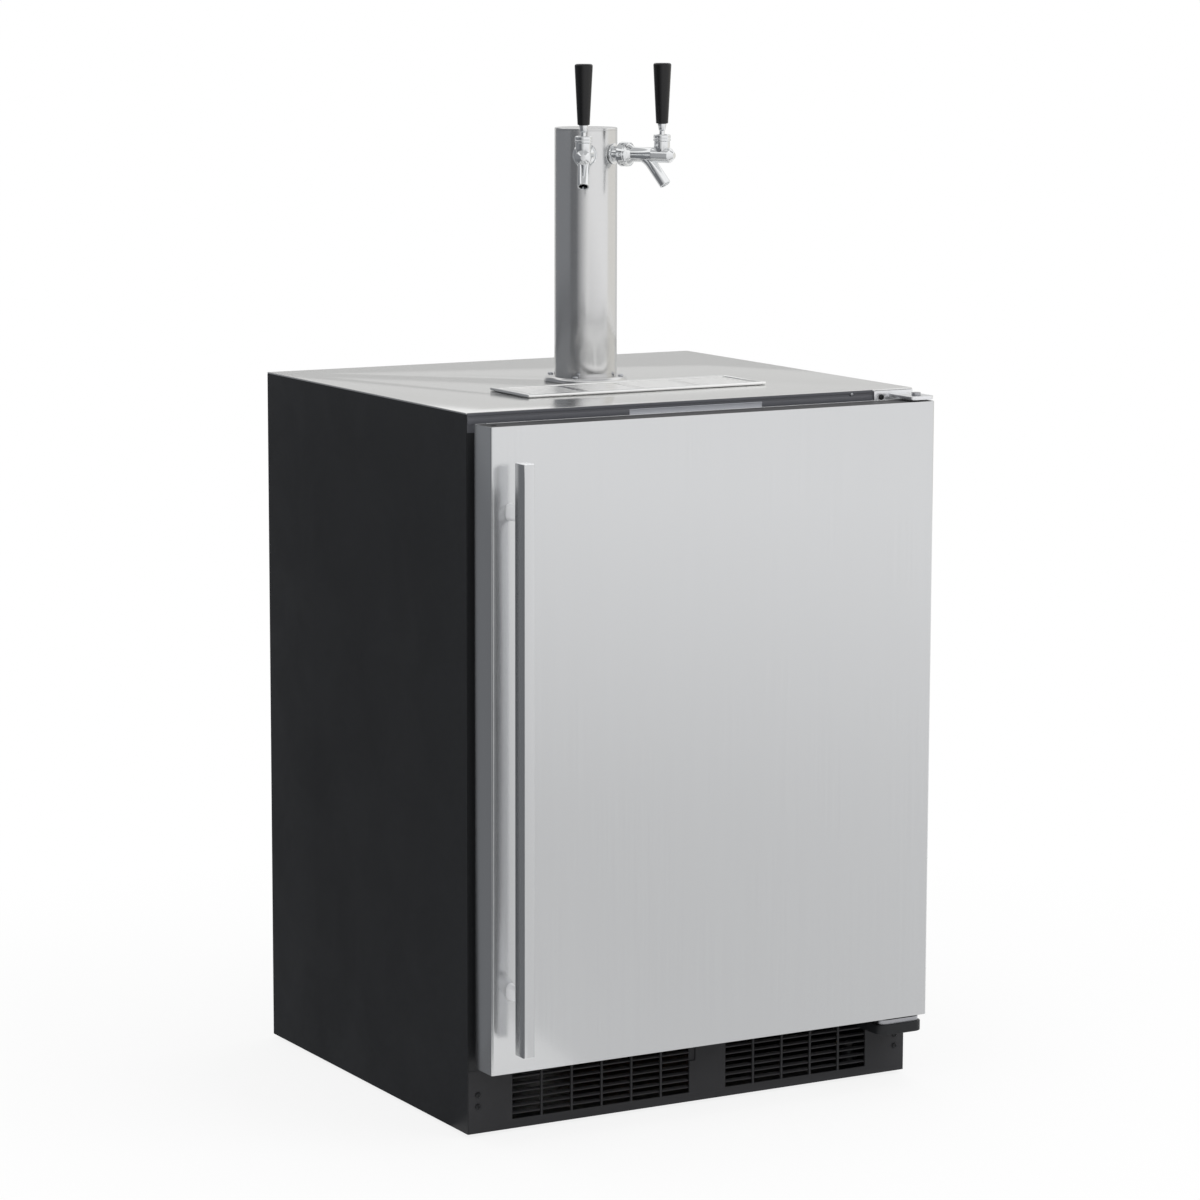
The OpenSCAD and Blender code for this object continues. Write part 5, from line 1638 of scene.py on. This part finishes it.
@dataclass
class GasSet:
    """Gas cylinder with its valve, hand wheel, regulator, gauges and knob."""

    shoulder: float = 0.042
    neck: float = 0.016
    lip: float = 0.008
    knob_bore: float = 0.00405
    flute: float = 0.0016
    flute_start: float = 0.004
    flute_out: float = 0.0006
    flutes: int = 12
    gauge_radius: float = 0.024
    gauge_depth: float = 0.02
    bezel: float = 0.0034
    ticks: int = 11
    sweep: float = 270.0
    reading: float = 60.0

    def build(self) -> None:
        """Build and dress the gas set."""
        self.cylinder()
        softened("cylinder_valve", BRASS, 0.0006)
        softened("gas_regulator", BRASS, 0.0008)
        softened("valve_handwheel", BLACK_PLASTIC, 0.0015, 3, Body.HANDWHEEL)
        self.knob()
        self.gauges()

    def cylinder(self) -> None:
        """Model the drawn cylinder with its soft foot and shoulder."""
        low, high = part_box("gas_cylinder")
        middle = middle_of("gas_cylinder")
        radius = (high.x - low.x) / 2
        height = high.z - low.z
        slope, rise = radius - self.neck, self.shoulder - self.lip
        bottle = Bench.turned("gas_cylinder_dressed", [
            (radius - 0.009, 0), (radius - 0.005, 0.0004), (radius - 0.0015, 0.002), (radius, 0.006),
            *arc(self.neck, height - self.shoulder, slope, rise, range(0, 91, 10)),
            (self.neck, height),
        ], shift(middle.x, middle.y, low.z), 96)
        dress(Bench.rounded(bottle, 0.0006), ALUMINIUM, "gas_cylinder")

    def knob(self) -> None:
        """Model the regulator's knob with a fluted grip."""
        low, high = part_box("regulator_knob")
        middle = middle_of("regulator_knob")
        radius = (high.x - low.x) / 2
        length = high.y - low.y
        place = shift(middle.x, high.y, middle.z) @ turn(90, "X")
        grip = Bench.turned("pressure_knob_dressed", [
            (self.knob_bore, 0), (radius - 0.001, 0), (radius, 0.001), (radius, length - 0.002),
            (radius - 0.002, length), (self.knob_bore, length),
        ], place, 64, True)
        rod = [(self.flute, self.flute_start), (self.flute, length + PAST)]
        spokes = [turn(360 / self.flutes * step, "Z") @ shift(radius + self.flute_out, 0, 0)
                  for step in range(self.flutes)]
        flutes = [Bench.turned("flute", rod, place @ spoke, 16) for spoke in spokes]
        Bench.cut(grip, Bench.joined("flutes", *flutes))
        dress(Bench.rounded(grip, 0.0004), BLACK_PLASTIC, "regulator_knob", body=Body.KNOB)

    def gauges(self) -> None:
        """Model both gauges: cases with a bezel, pale dials, ticks and needles."""
        low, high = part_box("regulator_gauges")
        radius, depth = self.gauge_radius, self.gauge_depth
        wall, inner, dial = radius - 0.001, radius - 0.003, radius - self.bezel
        face = depth - 0.0027
        cases, dials, inks = [], [], []
        for x, z in ((high.x - radius, high.z - radius), (low.x + radius, low.z + radius)):
            place = shift(x, low.y + depth, z) @ turn(90, "X")
            case = Bench.turned("case", [
                (inner, 0), (wall, 0.001), (wall, depth - 0.006), (radius, depth - 0.005),
                (radius, depth - 0.001), (wall, depth), (inner, depth), (dial, depth - 0.003),
            ], place, 72)
            cases.append(Bench.rounded(case, 0.0003))
            disc = [(dial, depth - 0.0031), (dial, face), (0.004, face)]
            dials.append(Bench.turned("dial", disc, place, 48))
            inks += self.marks(place)
        dress(Bench.joined("gauge_cases", *cases), ALUMINIUM, "regulator_gauges")
        dress(Bench.joined("gauge_dials", *dials), DIAL)
        dress(Bench.joined("gauge_marks", *inks), INK)

    def marks(self, place: Matrix) -> list[Piece]:
        """Model the tick marks and the needle of one dial.

        Args:
            place: Matrix from the gauge's axis to the part.

        Returns:
            The marks.
        """
        radius, face = self.gauge_radius, self.gauge_depth - 0.0026
        marks = []
        for step in range(self.ticks):
            angle = self.sweep * (step / (self.ticks - 1) - 0.5)
            tick = Bench.block("tick", (-0.0003, radius - 0.0075, face),
                               (0.0003, radius - 0.0048, face + 0.0002))
            marks.append(Bench.placed(tick, place @ turn(angle, "Z")))
        needle = Bench.block("needle", (-0.0004, -0.003, face + 0.0004),
                             (0.0004, radius - 0.008, face + 0.0008))
        marks.append(Bench.placed(needle, place @ turn(self.reading, "Z")))
        hub = Bench.turned("hub", [(0.0016, face), (0.0016, face + 0.001), (0.001, face + 0.0013)], place, 24)
        return [*marks, hub]


@dataclass
class Feet:
    """Four levelling feet, each a stud on a round pad."""

    pad: float = 0.02
    pad_height: float = 0.0037
    stud: float = 0.005

    def build(self) -> None:
        """Build and dress the feet."""
        pad, rise, stud = self.pad, self.pad_height, self.stud
        for corner in ("front_left", "front_right", "rear_left", "rear_right"):
            node = f"foot_{corner}"
            low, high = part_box(node)
            middle = middle_of(node)
            height = high.z - low.z
            foot = Bench.turned(node + "_dressed", [
                (pad - 0.0012, 0), (pad, 0.0008), (pad, rise - 0.0006), (pad - 0.0008, rise),
                (stud, rise), (stud, height - 0.001), (stud - 0.001, height),
            ], shift(middle.x, middle.y, low.z), 48)
            dress(Bench.rounded(foot, 0.0002), RUBBER, node, body=Body(f"{corner}_foot"))


@dataclass(frozen=True)
class Card:
    """Curved card by the object, which only reflections show.

    Its profile gives radius and height from its foot, and start and end are azimuths in degrees. It may fade
    to a far colour along a slope, between the two distances of its span. Colours are linear.
    """

    name: str
    profile: Profile
    start: float
    end: float
    colour: Place
    far_colour: Place | None = None
    slope: Place = (0, 0, 1)
    span: tuple[float, float] = (0, 1)
    SIDES: ClassVar[int] = 360
    CENTRE: ClassVar[float] = 0.1

    def stand(self) -> None:
        """Make the card and stand it in the studio."""
        card = Bench.turned(self.name, self.profile, Matrix(), self.SIDES)
        with Bench.editing(card):
            Bench.pick_faces(card, lambda at, out: at.xy.length < self.CENTRE or (
                math.degrees(math.atan2(at.y, at.x)) - self.start) % 360 > self.end - self.start)
            bpy.ops.mesh.delete(type="FACE")
        made, tree, _ = Shading.material(self.name)
        glow = Shading.node(tree, "Emission", Strength=1.0)
        place = Shading.node(tree, "TexCoord")
        reach = Shading.node(tree, "VectorMath", operation="DOT_PRODUCT")
        reach.inputs[1].default_value = self.slope
        fade = Shading.node(tree, "MapRange", From_Min=self.span[0], From_Max=self.span[1])
        Shading.coloured(tree, fade, (*self.colour, 1), (*(self.far_colour or self.colour), 1), glow, "Color")
        Shading.link(tree, (place, "Object", reach, 0), (reach, "Value", fade, "Value"),
                     (glow, 0, tree.nodes["Material Output"], "Surface"))
        card.data.materials.append(made)
        card.visible_camera = False
        card.visible_diffuse = False
        card.visible_shadow = False


CARDS = (
    Card("flag", [(0.3, 0.002), (1.0, 0.002), (1.0, 1.7)], 95, 180, (0.17, 0.175, 0.185),
         (0.225, 0.232, 0.245), (0, 0, 1), (0.76, 0.88)),
    Card("flag_dark", [(0.3, 0.002), (1.0, 0.002), (1.0, 1.7)], 180, 209, (0.155, 0.159, 0.167)),
    Card("flag_ramp", [(0.6, 0.002), (1.0, 0.002), (1.0, 1.7)], 209, 251, (0.25, 0.255, 0.265),
         (0.9, 0.9, 0.9), (0.766, -0.643, 0), (-0.358, 0.358)),
    Card("front_card", [(0.2, 0.003), (1.6, 0.003), (1.6, 1.9)], 251, 330, (0.69, 0.69, 0.695),
         (0.91, 0.91, 0.915), (0.35, 0, 1), (0.05, 1.2)),
    Card("low_card", [(0.53, 0.0), (0.53, 0.8)], 224, 236, (0.12, 0.124, 0.13)),
    Card("right_card", [(1.2, 0.7), (1.2, 1.5)], 330, 380, (0.8, 0.785, 0.75)),
    Card("back_card", [(1.2, 0.7), (1.2, 1.5)], 20, 95, (0.66, 0.66, 0.656)),
    Card("ceiling_card", [(0.2, 2.2), (1.1, 2.2)], 0, 360, (0.5, 0.505, 0.51)),
)


@dataclass
class Studio:
    """Pale floor, white surroundings, soft lamps, cards for the metal to reflect, and the camera."""

    eye: tuple[float, float, float] = (-2.5124, -4.4366, 1.3691)
    yaw: float = 29.467
    pitch: float = 8.7666
    roll: float = 0.1437
    lens: float = 126.57
    sensor: float = 36.0
    lamp_size: float = 3.0
    lamp_aim: tuple[float, float, float] = (0, 0, 0.6)
    plain_light: float = 0.55
    floor_radius: float = 5.0
    floor_drop: float = 0.0005
    floor_gloss: float = 0.4

    def build(self) -> None:
        """Build the studio and set the scene's camera."""
        bpy.context.scene.view_settings.view_transform = "Standard"
        self.camera()
        self.surroundings()
        self.floor()
        for card in CARDS:
            card.stand()
        self.lamp("key", (2.6, -3.4, 3.2), 90.0)
        self.lamp("fill", (-3.4, -2.6, 2.2), 40.0)
        self.lamp("top", (0.3, 0.4, 4.0), 60.0)

    def camera(self) -> None:
        """Place the camera at the photograph's viewing angle."""
        yaw, pitch, roll = (math.radians(angle) for angle in (self.yaw, self.pitch, self.roll))
        forward = Vector((math.sin(yaw) * math.cos(pitch), math.cos(yaw) * math.cos(pitch), -math.sin(pitch)))
        right = Vector((math.cos(yaw), -math.sin(yaw), 0))
        across = right * math.cos(roll) + right.cross(forward) * math.sin(roll)
        facing = Matrix((across, across.cross(forward), -forward)).transposed().to_4x4()
        bpy.ops.object.select_all(action="DESELECT")
        bpy.ops.object.camera_add()
        camera = bpy.context.active_object
        camera.name = "camera"
        camera.matrix_world = shift(*self.eye) @ facing
        camera.data.lens = self.lens
        camera.data.sensor_width = self.sensor
        bpy.context.scene.camera = camera

    def surroundings(self) -> None:
        """Make the world white to the camera and in reflections, and plain light otherwise."""
        world = bpy.data.worlds.new("studio")
        bpy.context.scene.world = world
        world.use_nodes = True
        tree = world.node_tree
        white = tree.nodes["Background"]
        Shading.plain(white, Color=(1, 1, 1, 1), Strength=1.0)
        plain = Shading.node(tree, "Background", Color=(1, 1, 1, 1), Strength=self.plain_light)
        path = Shading.node(tree, "LightPath")
        seen = Shading.node(tree, "Math", operation="MAXIMUM")
        shown = Shading.node(tree, "Math", operation="MAXIMUM")
        mix = Shading.node(tree, "MixShader")
        Shading.link(tree, (path, "Is Camera Ray", seen, 0), (path, "Is Glossy Ray", seen, 1),
                     (seen, 0, shown, 0), (path, "Is Transmission Ray", shown, 1), (shown, 0, mix, "Fac"),
                     (plain, 0, mix, 1), (white, 0, mix, 2), (mix, 0, tree.nodes["World Output"], "Surface"))

    def floor(self) -> None:
        """Lay a pale floor that keeps the shadow and stays close to white in view."""
        bpy.ops.object.select_all(action="DESELECT")
        bpy.ops.mesh.primitive_circle_add(vertices=96, radius=self.floor_radius, fill_type="NGON",
                                          location=(0, 0, -self.floor_drop))
        floor = bpy.context.active_object
        floor.name = "floor"
        made, tree, shader = Shading.material("floor")
        Shading.plain(shader, Roughness=0.9, Specular_IOR_Level=0.0, Base_Color=(0.86, 0.86, 0.86, 1))
        glow = Shading.node(tree, "Emission", Color=(1, 1, 1, 1), Strength=1.0)
        path = Shading.node(tree, "LightPath")
        place = Shading.node(tree, "TexCoord")
        reach = Shading.node(tree, "VectorMath", operation="LENGTH")
        fade = Shading.node(tree, "MapRange", From_Min=0.45, From_Max=1.3, To_Min=0.85, To_Max=1.0)
        seen = Shading.node(tree, "Math", operation="MULTIPLY_ADD")
        seen.inputs[1].default_value = self.floor_gloss
        share = Shading.node(tree, "Math", operation="MULTIPLY")
        mix = Shading.node(tree, "MixShader")
        Shading.link(tree, (place, "Object", reach, 0), (reach, "Value", fade, "Value"),
                     (path, "Is Glossy Ray", seen, 0), (path, "Is Camera Ray", seen, 2),
                     (fade, "Result", share, 0), (seen, 0, share, 1), (share, 0, mix, "Fac"),
                     (shader, 0, mix, 1), (glow, 0, mix, 2),
                     (mix, 0, tree.nodes["Material Output"], "Surface"))
        floor.data.materials.append(made)

    def lamp(self, name: str, place: Place, power: float) -> None:
        """Hang a soft square lamp that looks at the cabinet.

        Args:
            name: Name of the lamp.
            place: Where it hangs.
            power: Power in watts.
        """
        bpy.ops.object.select_all(action="DESELECT")
        bpy.ops.object.light_add(type="AREA", location=place)
        lamp = bpy.context.active_object
        lamp.name = name
        lamp.data.size = self.lamp_size
        lamp.data.energy = power
        lamp.rotation_euler = (Vector(self.lamp_aim) - Vector(place)).to_track_quat("-Z", "Y").to_euler()
        lamp.visible_glossy = False


def main() -> None:
    """Build the studio, then every sub-assembly."""
    logging.basicConfig(level=logging.INFO, format="%(name)s: %(message)s")
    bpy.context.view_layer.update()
    Studio().build()
    faucets = Faucets(Faucet("left", -1), Faucet("right", 1))
    for part in (Cabinet(), Header(), ToeGrille(), Hinges(), Door(), Screws(), Handle(), Tower(), faucets,
                 DripTray(), Interior(), GasSet(), Feet()):
        LOG.info("building %s", type(part).__name__)
        part.build()


if __name__ == "__main__":
    main()
